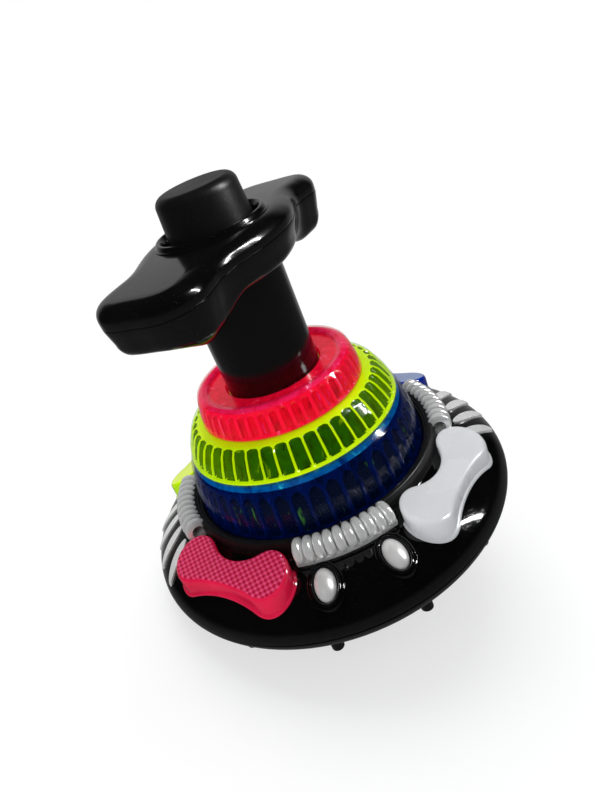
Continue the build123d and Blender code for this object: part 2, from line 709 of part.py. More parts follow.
with BuildPart() as vibration_switch:
    with BuildSketch(Plane.XZ.offset(-SWITCH_Y)):
        with Locations((SWITCH_X, BOARD_BOTTOM_Z - SWITCH_R)):
            Circle(SWITCH_R)
    extrude(amount=SWITCH_LENGTH)
finish(vibration_switch, "vibration_switch")

with BuildPart() as speaker:
    with BuildSketch(Plane.XY.offset(BOTTOM_Z + WALL)):
        with Locations((0, SPEAKER_Y)):
            Circle(SPEAKER_R)
            Circle(SPEAKER_R - 1.5, mode=Mode.SUBTRACT)
    extrude(amount=1.0)
    with BuildSketch(Plane.XY.offset(BOTTOM_Z + WALL + 1.0)):
        with Locations((0, SPEAKER_Y)):
            Circle(SPEAKER_R)
    extrude(amount=1.2)
    with BuildSketch(Plane.XY.offset(BOTTOM_Z + WALL + 2.2)):
        with Locations((0, SPEAKER_Y)):
            Circle(0.55 * SPEAKER_R)
    extrude(amount=SPEAKER_HEIGHT - 2.2)
finish(speaker, "speaker")

# Lamps: round-nosed bodies on two legs that stand on the board
with BuildPart() as leds:
    with BuildSketch(Plane.XY.offset(LED_BASE_Z)):
        with PolarLocations(LED_CIRCLE_R, LED_COUNT):
            Circle(LED_R)
    extrude(amount=LED_HEIGHT - LED_R)
    for x, y in on_circle(LED_CIRCLE_R, LED_COUNT):
        with Locations((x, y, LED_BASE_Z + LED_HEIGHT - LED_R)):
            Sphere(LED_R)
    with BuildSketch(Plane.XY.offset(BOARD_TOP_Z)):
        with PolarLocations(LED_CIRCLE_R, LED_COUNT):
            with Locations((0, LED_LEG_PITCH / 2), (0, -LED_LEG_PITCH / 2)):
                Rectangle(LED_LEG, LED_LEG)
    extrude(amount=LED_BASE_Z - BOARD_TOP_Z)
finish(leds, "leds")

# Launch socket: a hexagonal cup on a flange
with BuildPart() as launch_socket:
    with BuildSketch(Plane.XZ):
        with BuildLine():
            Polyline(
                (0, DECK_Z - WALL),
                (SPIGOT_R, DECK_Z - WALL),
                (SPIGOT_R, DECK_Z),
                (SOCKET_FLANGE_R, DECK_Z),
                (SOCKET_FLANGE_R, SOCKET_FLANGE_TOP_Z),
                (SOCKET_R, SOCKET_FLANGE_TOP_Z),
                (SOCKET_R, SOCKET_TOP_Z),
                (0, SOCKET_TOP_Z),
                close=True,
            )
        make_face()
    revolve(axis=Axis.Z)
    with BuildSketch(Plane.XY.offset(SOCKET_TOP_Z)):
        RegularPolygon(HEX_ACROSS_FLATS / 2 + HEX_GAP, 6, major_radius=False)
    extrude(amount=-SOCKET_DEPTH, mode=Mode.SUBTRACT)
    with BuildSketch(Plane.XY.offset(DECK_Z)):
        with Locations(on_circle(SOCKET_SCREW_CIRCLE_R, SOCKET_SCREW_COUNT, 60)):
            Circle(SMALL_SCREW_R + 0.1)
    extrude(amount=SOCKET_FLANGE_TOP_Z - DECK_Z, mode=Mode.SUBTRACT)
finish(launch_socket, "launch_socket")

socket_screws = screw_group(
    Plane.XY.offset(SOCKET_FLANGE_TOP_Z + SMALL_HEAD_HEIGHT).rotated((180, 0, 0)),
    [(x, -y) for x, y in on_circle(SOCKET_SCREW_CIRCLE_R, SOCKET_SCREW_COUNT, 60)],
    SMALL_SCREW_R,
    SMALL_HEAD_R,
    SMALL_HEAD_HEIGHT,
    SMALL_HEAD_HEIGHT + SOCKET_FLANGE_TOP_Z - DECK_Z + WALL,
)
finish(socket_screws, "socket_screws")

# Tiers: three thin coloured shells stacked on the deck
with BuildPart() as tier_blue:
    with BuildSketch(Plane.XZ):
        with BuildLine():
            Polyline((17.8, 47.8), (17.8, 49.3), (24.3, 49.3))
            ThreePointArc((24.3, 49.3), (26.3, 47.9), (27.2, 45.3))
            Polyline((27.2, 45.3), (27.9, 42.0), (28.26, 37.5), (28.3, DECK_Z), (26.8, DECK_Z))
            Polyline((26.8, DECK_Z), (26.76, 37.5), (26.4, 41.9), (25.7, 45.0))
            ThreePointArc((25.7, 45.0), (25.2, 46.7), (23.9, 47.8))
            Line((23.9, 47.8), (17.8, 47.8))
        make_face()
    revolve(axis=Axis.Z)
finish(tier_blue, "tier_blue")

with BuildPart() as tier_yellow:
    with BuildSketch(Plane.XZ):
        with BuildLine():
            Polyline((14.5, 54.8), (14.5, 56.3), (20.8, 56.3))
            ThreePointArc((20.8, 56.3), (22.5, 55.9), (23.4, 54.8))
            Polyline((23.4, 54.8), (24.7, 52.4), (25.65, 49.4), (24.1, 49.4), (23.2, 52.1), (22.1, 54.1))
            ThreePointArc((22.1, 54.1), (21.5, 54.6), (20.6, 54.8))
            Line((20.6, 54.8), (14.5, 54.8))
        make_face()
    revolve(axis=Axis.Z)
finish(tier_yellow, "tier_yellow")

with BuildPart() as tier_pink:
    with BuildSketch(Plane.XZ):
        with BuildLine():
            Polyline((TIER_HOLE_R, 60.7), (TIER_HOLE_R, 62.25), (15.3, 62.25))
            ThreePointArc((15.3, 62.25), (15.9, 62.9), (16.9, 63.25))
            ThreePointArc((16.9, 63.25), (18.1, 62.7), (18.7, 61.6))
            Polyline((18.7, 61.6), (19.35, 59.1), (19.6, 56.4), (18.1, 56.4), (17.85, 58.9), (17.4, 60.7))
            Line((17.4, 60.7), (TIER_HOLE_R, 60.7))
        make_face()
    revolve(axis=Axis.Z)
finish(tier_pink, "tier_pink")

# Drive rotor: a hexagonal plug that lies in the socket, a collar and a shaft, bored for the rod
with BuildPart() as drive_rotor:
    with BuildSketch(Plane.XY.offset(PLUG_BOTTOM_Z)):
        RegularPolygon(HEX_ACROSS_FLATS / 2, 6, major_radius=False)
    extrude(amount=ROTOR_COLLAR_Z - PLUG_BOTTOM_Z)
    with BuildSketch(Plane.XY.offset(ROTOR_COLLAR_Z)):
        Circle(ROTOR_COLLAR_R)
    extrude(amount=ROTOR_COLLAR_HEIGHT)
    with BuildSketch(Plane.XY.offset(ROTOR_COLLAR_Z)):
        Circle(SHAFT_R)
    extrude(amount=WHEEL_Z - ROTOR_COLLAR_Z)
    with BuildSketch(Plane.XY.offset(WHEEL_Z)):
        Circle(SPINDLE_R)
    extrude(amount=SPINDLE_TOP_Z - WHEEL_Z)
    with BuildSketch(Plane.XY.offset(PLUG_BOTTOM_Z)):
        Circle(ROD_R + SHAFT_GAP)
    extrude(amount=SPINDLE_TOP_Z - PLUG_BOTTOM_Z, mode=Mode.SUBTRACT)
finish(drive_rotor, "drive_rotor")

with BuildPart() as ratchet_wheel:
    with BuildSketch(Plane.XY.offset(WHEEL_Z)):
        Circle(WHEEL_ROOT_R)
        for tooth in range(WHEEL_TEETH):
            azimuth = 360 * tooth / WHEEL_TEETH
            with BuildLine():
                Polyline(
                    (0, 0),
                    polar(WHEEL_ROOT_R - 0.1, azimuth),
                    polar(WHEEL_TIP_R, azimuth),
                    polar(WHEEL_ROOT_R - 0.1, azimuth + 360 / WHEEL_TEETH),
                    close=True,
                )
            make_face()
        Circle(SPINDLE_R, mode=Mode.SUBTRACT)
    extrude(amount=WHEEL_THICKNESS)
finish(ratchet_wheel, "ratchet_wheel")

# Pawl: a block on the barrel's wall with a springy arm, whose nose rides on the tooth tips
with BuildPart() as ratchet_pawl:
    with BuildSketch(Plane.XY.offset(WHEEL_Z)):
        with BuildLine():
            Polyline(
                (-4.5, 7.6),
                (-1.5, 7.9),
                (4.2, 6.2),
                (4.2, 7.0),
                (-1.5, 10.5),
                (-4.5, 10.5),
                close=True,
            )
        make_face()
        Circle(WHEEL_TIP_R + PAWL_GAP, mode=Mode.SUBTRACT)
        with BuildLine():
            CenterArc((0, 0), BARREL_BORE_R, 0, 360)
        make_face(mode=Mode.INTERSECT)
    extrude(amount=WHEEL_THICKNESS)
finish(ratchet_pawl, "ratchet_pawl")

barrel_bush = ring_of([
    (SHAFT_R + SHAFT_GAP, BARREL_BOTTOM_Z),
    (BARREL_BORE_R, BARREL_BOTTOM_Z),
    (BARREL_BORE_R, BARREL_BOTTOM_Z + BUSH_HEIGHT),
    (SHAFT_R + SHAFT_GAP, BARREL_BOTTOM_Z + BUSH_HEIGHT),
])
finish(barrel_bush, "barrel_bush")

barrel = ring_of([
    (BARREL_BORE_R, BARREL_BOTTOM_Z),
    (BARREL_R, BARREL_BOTTOM_Z),
    (BARREL_R, BARREL_TOP_Z - BARREL_FLANGE_HEIGHT),
    (BARREL_FLANGE_R, BARREL_TOP_Z - BARREL_FLANGE_HEIGHT),
    (BARREL_FLANGE_R, BARREL_TOP_Z),
    (BARREL_BORE_R, BARREL_TOP_Z),
])
finish(barrel, "barrel")

spring_seat = ring_of([
    (ROD_R + 0.4, SEAT_TOP_Z - SEAT_HEIGHT),
    (BARREL_BORE_R, SEAT_TOP_Z - SEAT_HEIGHT),
    (BARREL_BORE_R, SEAT_TOP_Z),
    (ROD_R + 0.4, SEAT_TOP_Z),
])
finish(spring_seat, "spring_seat")


def coil_spring(bottom_z, top_z, radius, wire_r, turns):
    """A coil of round wire, between two heights."""
    height = top_z - bottom_z - 2 * wire_r
    with BuildPart() as spring:
        with BuildLine(Plane.XY.offset(bottom_z + wire_r)):
            path = Helix(pitch=height / turns, height=height, radius=radius)
        with BuildSketch(Plane(origin=path @ 0, z_dir=path % 0)):
            Circle(wire_r)
        sweep(is_frenet=True)
    return spring


wind_spring = coil_spring(WHEEL_Z + WHEEL_THICKNESS + 0.3, SPINDLE_TOP_Z - 0.4, 5.2, 0.45, 5)
finish(wind_spring, "wind_spring")

button_spring = coil_spring(SEAT_TOP_Z + 0.05, BUTTON_SEAT_Z - 0.05, 4.1, 0.4, 6)
finish(button_spring, "button_spring")

# Release button: a hollow cap with a stem that holds the rod
with BuildPart() as release_button:
    with BuildSketch(Plane.XZ):
        with BuildLine():
            Polyline(
                (0, BUTTON_TOP_Z),
                (BUTTON_R - BUTTON_TAPER - BUTTON_ROUND, BUTTON_TOP_Z),
            )
            RadiusArc(
                (BUTTON_R - BUTTON_TAPER - BUTTON_ROUND, BUTTON_TOP_Z),
                (BUTTON_R - BUTTON_TAPER, BUTTON_TOP_Z - BUTTON_ROUND),
                BUTTON_ROUND,
            )
            Polyline(
                (BUTTON_R - BUTTON_TAPER, BUTTON_TOP_Z - BUTTON_ROUND),
                (BUTTON_R, HUB_TOP_Z),
                (BUTTON_R, BUTTON_FLANGE_TOP_Z),
                (BUTTON_FLANGE_R, BUTTON_FLANGE_TOP_Z),
                (BUTTON_FLANGE_R, BUTTON_FLANGE_TOP_Z - BUTTON_WALL),
                (BUTTON_R - BUTTON_WALL, BUTTON_FLANGE_TOP_Z - BUTTON_WALL),
                (BUTTON_R - BUTTON_TAPER - BUTTON_WALL, BUTTON_TOP_Z - BUTTON_ROUND),
                (STEM_R, BUTTON_TOP_Z - BUTTON_ROUND),
                (STEM_R, BUTTON_SEAT_Z + BUTTON_WALL),
                (STEM_FLANGE_R, BUTTON_SEAT_Z + BUTTON_WALL),
                (STEM_FLANGE_R, BUTTON_SEAT_Z),
                (ROD_R, BUTTON_SEAT_Z),
                (ROD_R, ROD_TOP_Z),
                (0, ROD_TOP_Z),
                (0, BUTTON_TOP_Z),
            )
        make_face()
    revolve(axis=Axis.Z)
finish(release_button, "release_button")

with BuildPart() as push_rod:
    with BuildSketch(Plane.XY.offset(ROD_BOTTOM_Z)):
        Circle(ROD_R)
    extrude(amount=ROD_TOP_Z - ROD_BOTTOM_Z)
    chamfer(push_rod.faces().sort_by(Axis.Z)[0].edges(), 0.5)
finish(push_rod, "push_rod")

button_collar = ring_of([
    (COLLAR_INNER_R, COLLAR_BOTTOM_Z),
    (COLLAR_OUTER_R, COLLAR_BOTTOM_Z),
    (COLLAR_OUTER_R, COLLAR_LIP_Z),
    (COLLAR_LIP_R, COLLAR_LIP_Z),
    (COLLAR_LIP_R, COLLAR_TOP_Z - 0.4),
    (COLLAR_LIP_R - 0.4, COLLAR_TOP_Z),
    (COLLAR_INNER_R + 0.2, COLLAR_TOP_Z),
    (COLLAR_INNER_R, COLLAR_TOP_Z - 0.2),
])
finish(button_collar, "button_collar")


def handle_plan(inset):
    """Dog-bone outline along X: a round hub and a blunt lobe at each end."""
    half_width = HANDLE_WAIST_HALF_WIDTH - inset
    with BuildSketch(Plane.XY, mode=Mode.PRIVATE) as plan:
        Circle(HUB_R - inset)
        Rectangle(2 * HANDLE_LOBE_X, 2 * half_width)
        with Locations((HANDLE_LOBE_X, 0), (-HANDLE_LOBE_X, 0)):
            RectangleRounded(
                2 * (HANDLE_HALF_LENGTH - HANDLE_LOBE_X - inset),
                2 * (HANDLE_LOBE_HALF_WIDTH - inset),
                HANDLE_LOBE_ROUND - inset,
            )
        waist_corners = plan.vertices().filter_by(lambda v: abs(abs(v.Y) - half_width) < 1e-6)
        fillet(waist_corners, HANDLE_WAIST_ROUND)
    return plan.sketch


def across_handle(points_right, arch_z, inset):
    """A slab across the handle: straight points mirrored in X, closed by the parting arch."""
    tip_x = HANDLE_HALF_LENGTH
    with BuildPart() as slab:
        with BuildSketch(Plane.XZ):
            with BuildLine():
                Polyline(*points_right, *[(-x, z) for x, z in reversed(points_right)])
                ThreePointArc((tip_x, TIP_PARTING_Z), (0, arch_z), (-tip_x, TIP_PARTING_Z))
            make_face()
        extrude(amount=HUB_R - inset, both=True)
    return slab.part


lower_side = [
    (HANDLE_HALF_LENGTH, TIP_PARTING_Z),
    (HANDLE_HALF_LENGTH, TIP_PARTING_Z - 2.5),
    (28.8, 85.2),
    (25.5, LOBE_BOTTOM_Z),
    (18.5, LOBE_BOTTOM_Z),
    (15.5, 85.5),
    (12.5, HUB_BOTTOM_Z),
]
lower_hollow = [
    (HANDLE_HALF_LENGTH, TIP_PARTING_Z),
    (29.6, 88.8),
    (27.2, 86.6),
    (24.8, LOBE_BOTTOM_Z + WALL),
    (19.2, LOBE_BOTTOM_Z + WALL),
    (16.2, 87.2),
    (13.0, HUB_BOTTOM_Z + WALL),
]
with BuildPart() as handle_lower:
    extrude(Pos(0, 0, LOBE_BOTTOM_Z - 1) * handle_plan(0), amount=20)
    add(across_handle(lower_side, HUB_PARTING_Z, 0), mode=Mode.INTERSECT)
with BuildPart() as handle_cavity:
    extrude(Pos(0, 0, LOBE_BOTTOM_Z - 1) * handle_plan(WALL), amount=20)
    add(across_handle(lower_hollow, HUB_PARTING_Z, WALL), mode=Mode.INTERSECT)
with handle_lower:
    add(handle_cavity.part, mode=Mode.SUBTRACT)
    with BuildSketch(Plane.XY.offset(HUB_BOTTOM_Z)):
        Circle(HUB_R - WALL)
    extrude(amount=BARREL_TOP_Z - HUB_BOTTOM_Z)
    with BuildSketch(Plane.XY.offset(LOBE_BOTTOM_Z)):
        with Locations((HANDLE_SCREW_X, 0), (-HANDLE_SCREW_X, 0)):
            Circle(POST_OUTER_R)
    extrude(amount=HANDLE_POST_Z - LOBE_BOTTOM_Z)
    with BuildSketch(Plane.XY.offset(HUB_BOTTOM_Z)):
        Circle(BARREL_R)
    extrude(amount=BARREL_TOP_Z - HUB_BOTTOM_Z, mode=Mode.SUBTRACT)
    with BuildSketch(Plane.XY.offset(BARREL_TOP_Z - BARREL_FLANGE_HEIGHT)):
        Circle(BARREL_FLANGE_R)
    extrude(amount=BARREL_FLANGE_HEIGHT, mode=Mode.SUBTRACT)
    with BuildSketch(Plane.XY.offset(LOBE_BOTTOM_Z)):
        with Locations((HANDLE_SCREW_X, 0), (-HANDLE_SCREW_X, 0)):
            Circle(SCREW_HEAD_R + 0.1)
    extrude(amount=HANDLE_HEAD_Z - LOBE_BOTTOM_Z, mode=Mode.SUBTRACT)
    with BuildSketch(Plane.XY.offset(LOBE_BOTTOM_Z)):
        with Locations((HANDLE_SCREW_X, 0), (-HANDLE_SCREW_X, 0)):
            Circle(SCREW_R)
    extrude(amount=HANDLE_POST_Z - LOBE_BOTTOM_Z, mode=Mode.SUBTRACT)


def upper_side(lift):
    """The arched band above the parting line, thinner by lift on top."""
    with BuildPart() as band:
        with BuildSketch(Plane.XZ):
            with BuildLine():
                ThreePointArc(
                    (HANDLE_HALF_LENGTH, TIP_TOP_EDGE_Z - lift),
                    (0, HUB_TOP_Z - lift),
                    (-HANDLE_HALF_LENGTH, TIP_TOP_EDGE_Z - lift),
                )
                Line((-HANDLE_HALF_LENGTH, TIP_TOP_EDGE_Z - lift), (-HANDLE_HALF_LENGTH, TIP_PARTING_Z))
                ThreePointArc(
                    (-HANDLE_HALF_LENGTH, TIP_PARTING_Z),
                    (0, HUB_PARTING_Z),
                    (HANDLE_HALF_LENGTH, TIP_PARTING_Z),
                )
                Line((HANDLE_HALF_LENGTH, TIP_PARTING_Z), (HANDLE_HALF_LENGTH, TIP_TOP_EDGE_Z - lift))
            make_face()
        extrude(amount=HUB_R, both=True)
    return band.part


with BuildPart() as upper_cavity:
    extrude(Pos(0, 0, LOBE_BOTTOM_Z - 1) * handle_plan(WALL), amount=20)
    add(upper_side(WALL), mode=Mode.INTERSECT)
with BuildPart() as handle_upper:
    extrude(Pos(0, 0, LOBE_BOTTOM_Z - 1) * handle_plan(0), amount=20)
    add(upper_side(0), mode=Mode.INTERSECT)
    fillet(handle_upper.faces().sort_by(Axis.Z)[-1].edges(), HANDLE_ROUND)
    add(upper_cavity.part, mode=Mode.SUBTRACT)
    with BuildSketch(Plane.XY.offset(HANDLE_POST_Z)):
        with Locations((HANDLE_SCREW_X, 0), (-HANDLE_SCREW_X, 0)):
            Circle(POST_OUTER_R)
    extrude(amount=HANDLE_POST_TOP_Z - HANDLE_POST_Z)
    with BuildSketch(Plane.XY.offset(COLLAR_BOTTOM_Z)):
        Circle(COLLAR_OUTER_R)
    extrude(amount=BUTTON_TOP_Z - COLLAR_BOTTOM_Z, mode=Mode.SUBTRACT)
    with BuildSketch(Plane.XY.offset(HANDLE_POST_Z)):
        with Locations((HANDLE_SCREW_X, 0), (-HANDLE_SCREW_X, 0)):
            Circle(SCREW_R)
    extrude(amount=HANDLE_SCREW_TOP_Z + 0.3 - HANDLE_POST_Z, mode=Mode.SUBTRACT)

handle_screws = screw_group(
    Plane.XY.offset(HANDLE_HEAD_Z - SCREW_HEAD_HEIGHT),
    [(HANDLE_SCREW_X, 0), (-HANDLE_SCREW_X, 0)],
    SCREW_R,
    SCREW_HEAD_R,
    SCREW_HEAD_HEIGHT,
    HANDLE_SCREW_TOP_Z - HANDLE_HEAD_Z + SCREW_HEAD_HEIGHT,
)
for name, straight in (
    ("handle_lower", handle_lower),
    ("handle_upper", handle_upper),
    ("handle_screws", handle_screws),
):
    with BuildPart() as turned:
        add(straight.part.rotate(Axis.Z, HANDLE_AZIMUTH))
    finish(turned, name)
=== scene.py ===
from math import cos, hypot, pi, radians, sin, sqrt, tan

import bmesh
import bpy
from mathutils import Euler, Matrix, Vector


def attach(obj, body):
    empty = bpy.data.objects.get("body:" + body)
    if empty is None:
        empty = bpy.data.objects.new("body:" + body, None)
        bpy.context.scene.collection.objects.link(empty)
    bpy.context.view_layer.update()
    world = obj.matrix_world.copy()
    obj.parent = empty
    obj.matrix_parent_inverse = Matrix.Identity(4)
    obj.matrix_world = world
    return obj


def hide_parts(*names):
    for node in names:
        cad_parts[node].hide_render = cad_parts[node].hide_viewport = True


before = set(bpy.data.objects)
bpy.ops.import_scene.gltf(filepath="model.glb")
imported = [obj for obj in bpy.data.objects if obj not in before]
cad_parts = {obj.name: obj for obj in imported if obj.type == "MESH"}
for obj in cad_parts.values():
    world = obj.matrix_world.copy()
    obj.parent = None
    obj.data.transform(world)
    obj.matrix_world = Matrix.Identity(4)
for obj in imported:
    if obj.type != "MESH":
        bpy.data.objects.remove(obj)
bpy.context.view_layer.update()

# Shapes are written in millimetres about the spin axis and scaled to the frame's metres.
MM = 0.001

# Body
BASE_R, RIM_Z, RIM_DEPTH, RIM_HEIGHT = 45.0, 24.0, 15.75, 9.0
FLAT_R = BASE_R - RIM_DEPTH
SEAM_Z = 23.2
DECK_Z, RING_INNER_R, RING_OUTER_R, RING_TOP_Z = 35.0, 28.6, 31.05, 37.95
LENS_CIRCLE_R, LENS_TOP_Z, LENS_SLOPE = 36.9, 35.25, 19.3
LENS_LOBE_R, LENS_LOBE_ANGLE, LENS_WAIST = 5.3, 16.0, 2.8
COIL_CIRCLE_R, COIL_Z, COIL_BEADS, COIL_HALF_ANGLE = 32.4, 36.4, 10, 17.4
BEAD_R, BEAD_PINCH = 2.8, 0.74
STUD_R, STUD_LONG, STUD_SHORT = 38.4, 3.6, 2.3
STUD_OFFSETS = (-11.0, 12.0)
# Double line of a bezel: how far out from the stud, and how high over the flank
BEZEL_STEPS = ((1.75, -1.5), (1.6, 0.0), (1.45, 0.22), (1.25, 0.25), (1.1, 0.05), (1.0, 0.05),
               (0.9, 0.4), (0.7, 0.55), (0.45, 0.5), (0.25, 0.15), (0.15, -0.8))
LEAN = 20.9
TIP_R = 2.4

# Launcher
HANDLE_AZIMUTH = 54.0
HUB_PARTING_Z, TIP_PARTING_Z = 92.8, 91.7
HUB_TOP_Z, TIP_TOP_Z = 96.9, 95.9
LOBE_BOTTOM_Z, HUB_BOTTOM_Z, TIP_LIFT = 83.6, 86.4, 2.2
HANDLE_HALF_LENGTH = 32.6
HANDLE_SHOULDER = 4.4
COLLAR_RIBS = 16


# ---------------------------------------------------------------- materials
def shader(name):
    made = bpy.data.materials.new(name)
    made.use_nodes = True
    nodes = made.node_tree.nodes
    return made, nodes, made.node_tree.links, nodes["Principled BSDF"]


def put(nodes, kind, **sockets):
    """A shader node with its inputs set; an underscore stands for a space in an input's name."""
    made = nodes.new(kind)
    for key, value in sockets.items():
        made.inputs[key.replace("_", " ")].default_value = value
    return made


def ramp(nodes, low, high, start=0.0, stop=1.0):
    """A colour ramp from low at start to high at stop."""
    made = nodes.new("ShaderNodeValToRGB")
    made.color_ramp.elements[0].position, made.color_ramp.elements[1].position = start, stop
    made.color_ramp.elements[0].color, made.color_ramp.elements[1].color = low, high
    return made


def grey(value):
    return (value, value, value, 1.0)


def plastic(name, colour, rough=(0.08, 0.16), grain=0.04, grain_scale=1400.0, dust=0.0, tint=0.12,
            metal=0.0, alpha=1.0, coat=0.0, glow=0.0, soft=0.0, specular=0.5, scratches=0.0):
    """Moulded plastic: mottled colour, smears in the gloss, fine grain, a little dust and wear; with
    glow, painted light.
    """
    made, nodes, links, base = shader(name)
    place = nodes.new("ShaderNodeTexCoord")
    broad = put(nodes, "ShaderNodeTexNoise", Scale=90.0, Detail=4.0, Roughness=0.55)
    fine = put(nodes, "ShaderNodeTexNoise", Scale=grain_scale, Detail=3.0, Roughness=0.6)
    specks = put(nodes, "ShaderNodeTexNoise", Scale=2600.0, Detail=1.0)
    for texture in (broad, fine, specks):
        links.new(place.outputs["Object"], texture.inputs["Vector"])
    dark = tuple(c * (1 - tint) for c in colour) + (1.0,)
    light = tuple(min(1.0, c * (1 + tint)) for c in colour) + (1.0,)
    tone = ramp(nodes, dark, light, 0.35, 0.65)
    links.new(broad.outputs["Fac"], tone.inputs["Fac"])
    links.new(tone.outputs["Color"], base.inputs["Base Color"])
    if dust:
        spots = ramp(nodes, grey(0.0), grey(1.0), 0.70, 0.74)
        links.new(specks.outputs["Fac"], spots.inputs["Fac"])
        mixed = nodes.new("ShaderNodeMix")
        mixed.data_type = "RGBA"
        share = put(nodes, "ShaderNodeMath")
        share.operation = "MULTIPLY"
        links.new(spots.outputs["Color"], share.inputs[0])
        share.inputs[1].default_value = dust
        links.new(share.outputs["Value"], mixed.inputs["Factor"])
        links.new(tone.outputs["Color"], mixed.inputs["A"])
        mixed.inputs["B"].default_value = (0.55, 0.53, 0.5, 1.0)
        links.new(mixed.outputs["Result"], base.inputs["Base Color"])
    smears = ramp(nodes, grey(rough[0]), grey(rough[1]), 0.35, 0.7)
    links.new(broad.outputs["Fac"], smears.inputs["Fac"])
    links.new(smears.outputs["Color"], base.inputs["Roughness"])
    bump = put(nodes, "ShaderNodeBump", Strength=grain, Distance=0.0002)
    links.new(fine.outputs["Fac"], bump.inputs["Height"])
    links.new(bump.outputs["Normal"], base.inputs["Normal"])
    if scratches:
        lines = put(nodes, "ShaderNodeTexNoise", Scale=260.0, Detail=5.0, Distortion=2.5)
        links.new(place.outputs["Object"], lines.inputs["Vector"])
        thin = ramp(nodes, grey(0.0), grey(1.0), 0.495, 0.505)
        links.new(lines.outputs["Fac"], thin.inputs["Fac"])
        second = put(nodes, "ShaderNodeBump", Strength=scratches, Distance=0.00005)
        links.new(thin.outputs["Color"], second.inputs["Height"])
        links.new(bump.outputs["Normal"], second.inputs["Normal"])
        links.new(second.outputs["Normal"], base.inputs["Normal"])
    base.inputs["Metallic"].default_value = metal
    base.inputs["Alpha"].default_value = alpha
    base.inputs["Coat Weight"].default_value = coat
    base.inputs["Coat Roughness"].default_value = 0.03
    base.inputs["Specular IOR Level"].default_value = specular
    # glow is painted light: the surface gives off its own colour as light, whatever lamps fall on it;
    # only the LEDs are real lamps
    if glow:
        links.new(tone.outputs["Color"], base.inputs["Emission Color"])
        base.inputs["Emission Strength"].default_value = glow
    if soft:
        base.inputs["Subsurface Weight"].default_value = soft
        base.inputs["Subsurface Scale"].default_value = 0.004
        base.inputs["Subsurface Radius"].default_value = (1.0, 1.0, 1.0)
    return made


def clear(name, colour, rough, alpha, edge):
    """Clear tinted plastic: a thin coloured film that grows denser where it is seen edge on."""
    made = plastic(name, colour, (rough, rough * 1.8), 0.02, 700.0, coat=1.0, tint=0.06)
    nodes, links = made.node_tree.nodes, made.node_tree.links
    base = nodes["Principled BSDF"]
    facing = put(nodes, "ShaderNodeLayerWeight", Blend=0.35)
    dense = ramp(nodes, grey(alpha), grey(edge), 0.05, 0.9)
    links.new(facing.outputs["Facing"], dense.inputs["Fac"])
    links.new(dense.outputs["Color"], base.inputs["Alpha"])
    return made


def prisms(name, colour, peak_highlight, pitch):
    """A reflector lens: a lattice of small raised diamonds that the lamps light on one side, with
    painted light and shade as well: darker colour towards each diamond's foot, brighter towards its
    peak, and a painted glow.
    """
    made = plastic(name, colour, (0.12, 0.2), 0.03, coat=0.6, tint=0.08, soft=0.1)
    nodes, links = made.node_tree.nodes, made.node_tree.links
    base = nodes["Principled BSDF"]
    place = nodes.new("ShaderNodeTexCoord")
    heights = []
    for angle in (38.0, -38.0):
        turn = nodes.new("ShaderNodeMapping")
        turn.inputs["Rotation"].default_value = (0, 0, radians(angle - 45.0))
        turn.inputs["Scale"].default_value = (1 / pitch, 1 / pitch, 1 / pitch)
        links.new(place.outputs["Object"], turn.inputs["Vector"])
        apart = nodes.new("ShaderNodeSeparateXYZ")
        links.new(turn.outputs["Vector"], apart.inputs["Vector"])
        wave = nodes.new("ShaderNodeMath")
        wave.operation = "PINGPONG"
        links.new(apart.outputs["X"], wave.inputs[0])
        wave.inputs[1].default_value = 0.5
        heights.append(wave)
    both = nodes.new("ShaderNodeMath")
    both.operation = "ADD"
    links.new(heights[0].outputs["Value"], both.inputs[0])
    links.new(heights[1].outputs["Value"], both.inputs[1])
    bump = put(nodes, "ShaderNodeBump", Strength=1.0, Distance=0.0006)
    links.new(both.outputs["Value"], bump.inputs["Height"])
    links.new(bump.outputs["Normal"], base.inputs["Normal"])
    # Painted shade at the diamonds' feet and painted highlight at their peaks, from the same height
    # pattern as the bump
    ramp_with_painted_light = ramp(nodes, tuple(c * 0.55 for c in colour) + (1.0,), peak_highlight + (1.0,), 0.25, 0.95)
    links.new(both.outputs["Value"], ramp_with_painted_light.inputs["Fac"])
    links.new(ramp_with_painted_light.outputs["Color"], base.inputs["Base Color"])
    # Painted glow: the lens gives off its own colour as light
    links.new(ramp_with_painted_light.outputs["Color"], base.inputs["Emission Color"])
    base.inputs["Emission Strength"].default_value = 0.16
    return made


def streaked_with_painted_glints(name, dark, mid, painted_glint, scale, glow=0.0, coat=1.0):
    """Tinted plastic over a fluted inside: soft upright streaks from dark to mid, with a few painted
    glints, bright reflections painted into the colour; with glow it shines as painted light too.
    """
    made = plastic(name, mid, (0.06, 0.16), 0.03, coat=coat, specular=0.5 * coat, glow=glow)
    nodes, links = made.node_tree.nodes, made.node_tree.links
    base = nodes["Principled BSDF"]
    place = nodes.new("ShaderNodeTexCoord")
    stretch = nodes.new("ShaderNodeMapping")
    stretch.inputs["Scale"].default_value = (1.0, 1.0, 0.22)
    streaks = put(nodes, "ShaderNodeTexNoise", Scale=scale * 8, Detail=2.0, Roughness=0.6,
                  Distortion=0.6)
    links.new(place.outputs["Object"], stretch.inputs["Vector"])
    links.new(stretch.outputs["Vector"], streaks.inputs["Vector"])
    # Painted glints: where the streak noise runs highest the colour turns to the glint colour, a
    # reflection painted in
    ramp_with_painted_light = ramp(nodes, dark + (1.0,), painted_glint + (1.0,), 0.30, 0.74)
    for position in (0.50, 0.64):
        ramp_with_painted_light.color_ramp.elements.new(position).color = mid + (1.0,)
    links.new(streaks.outputs["Fac"], ramp_with_painted_light.inputs["Fac"])
    links.new(ramp_with_painted_light.outputs["Color"], base.inputs["Base Color"])
    if glow:
        links.new(ramp_with_painted_light.outputs["Color"], base.inputs["Emission Color"])
    return made


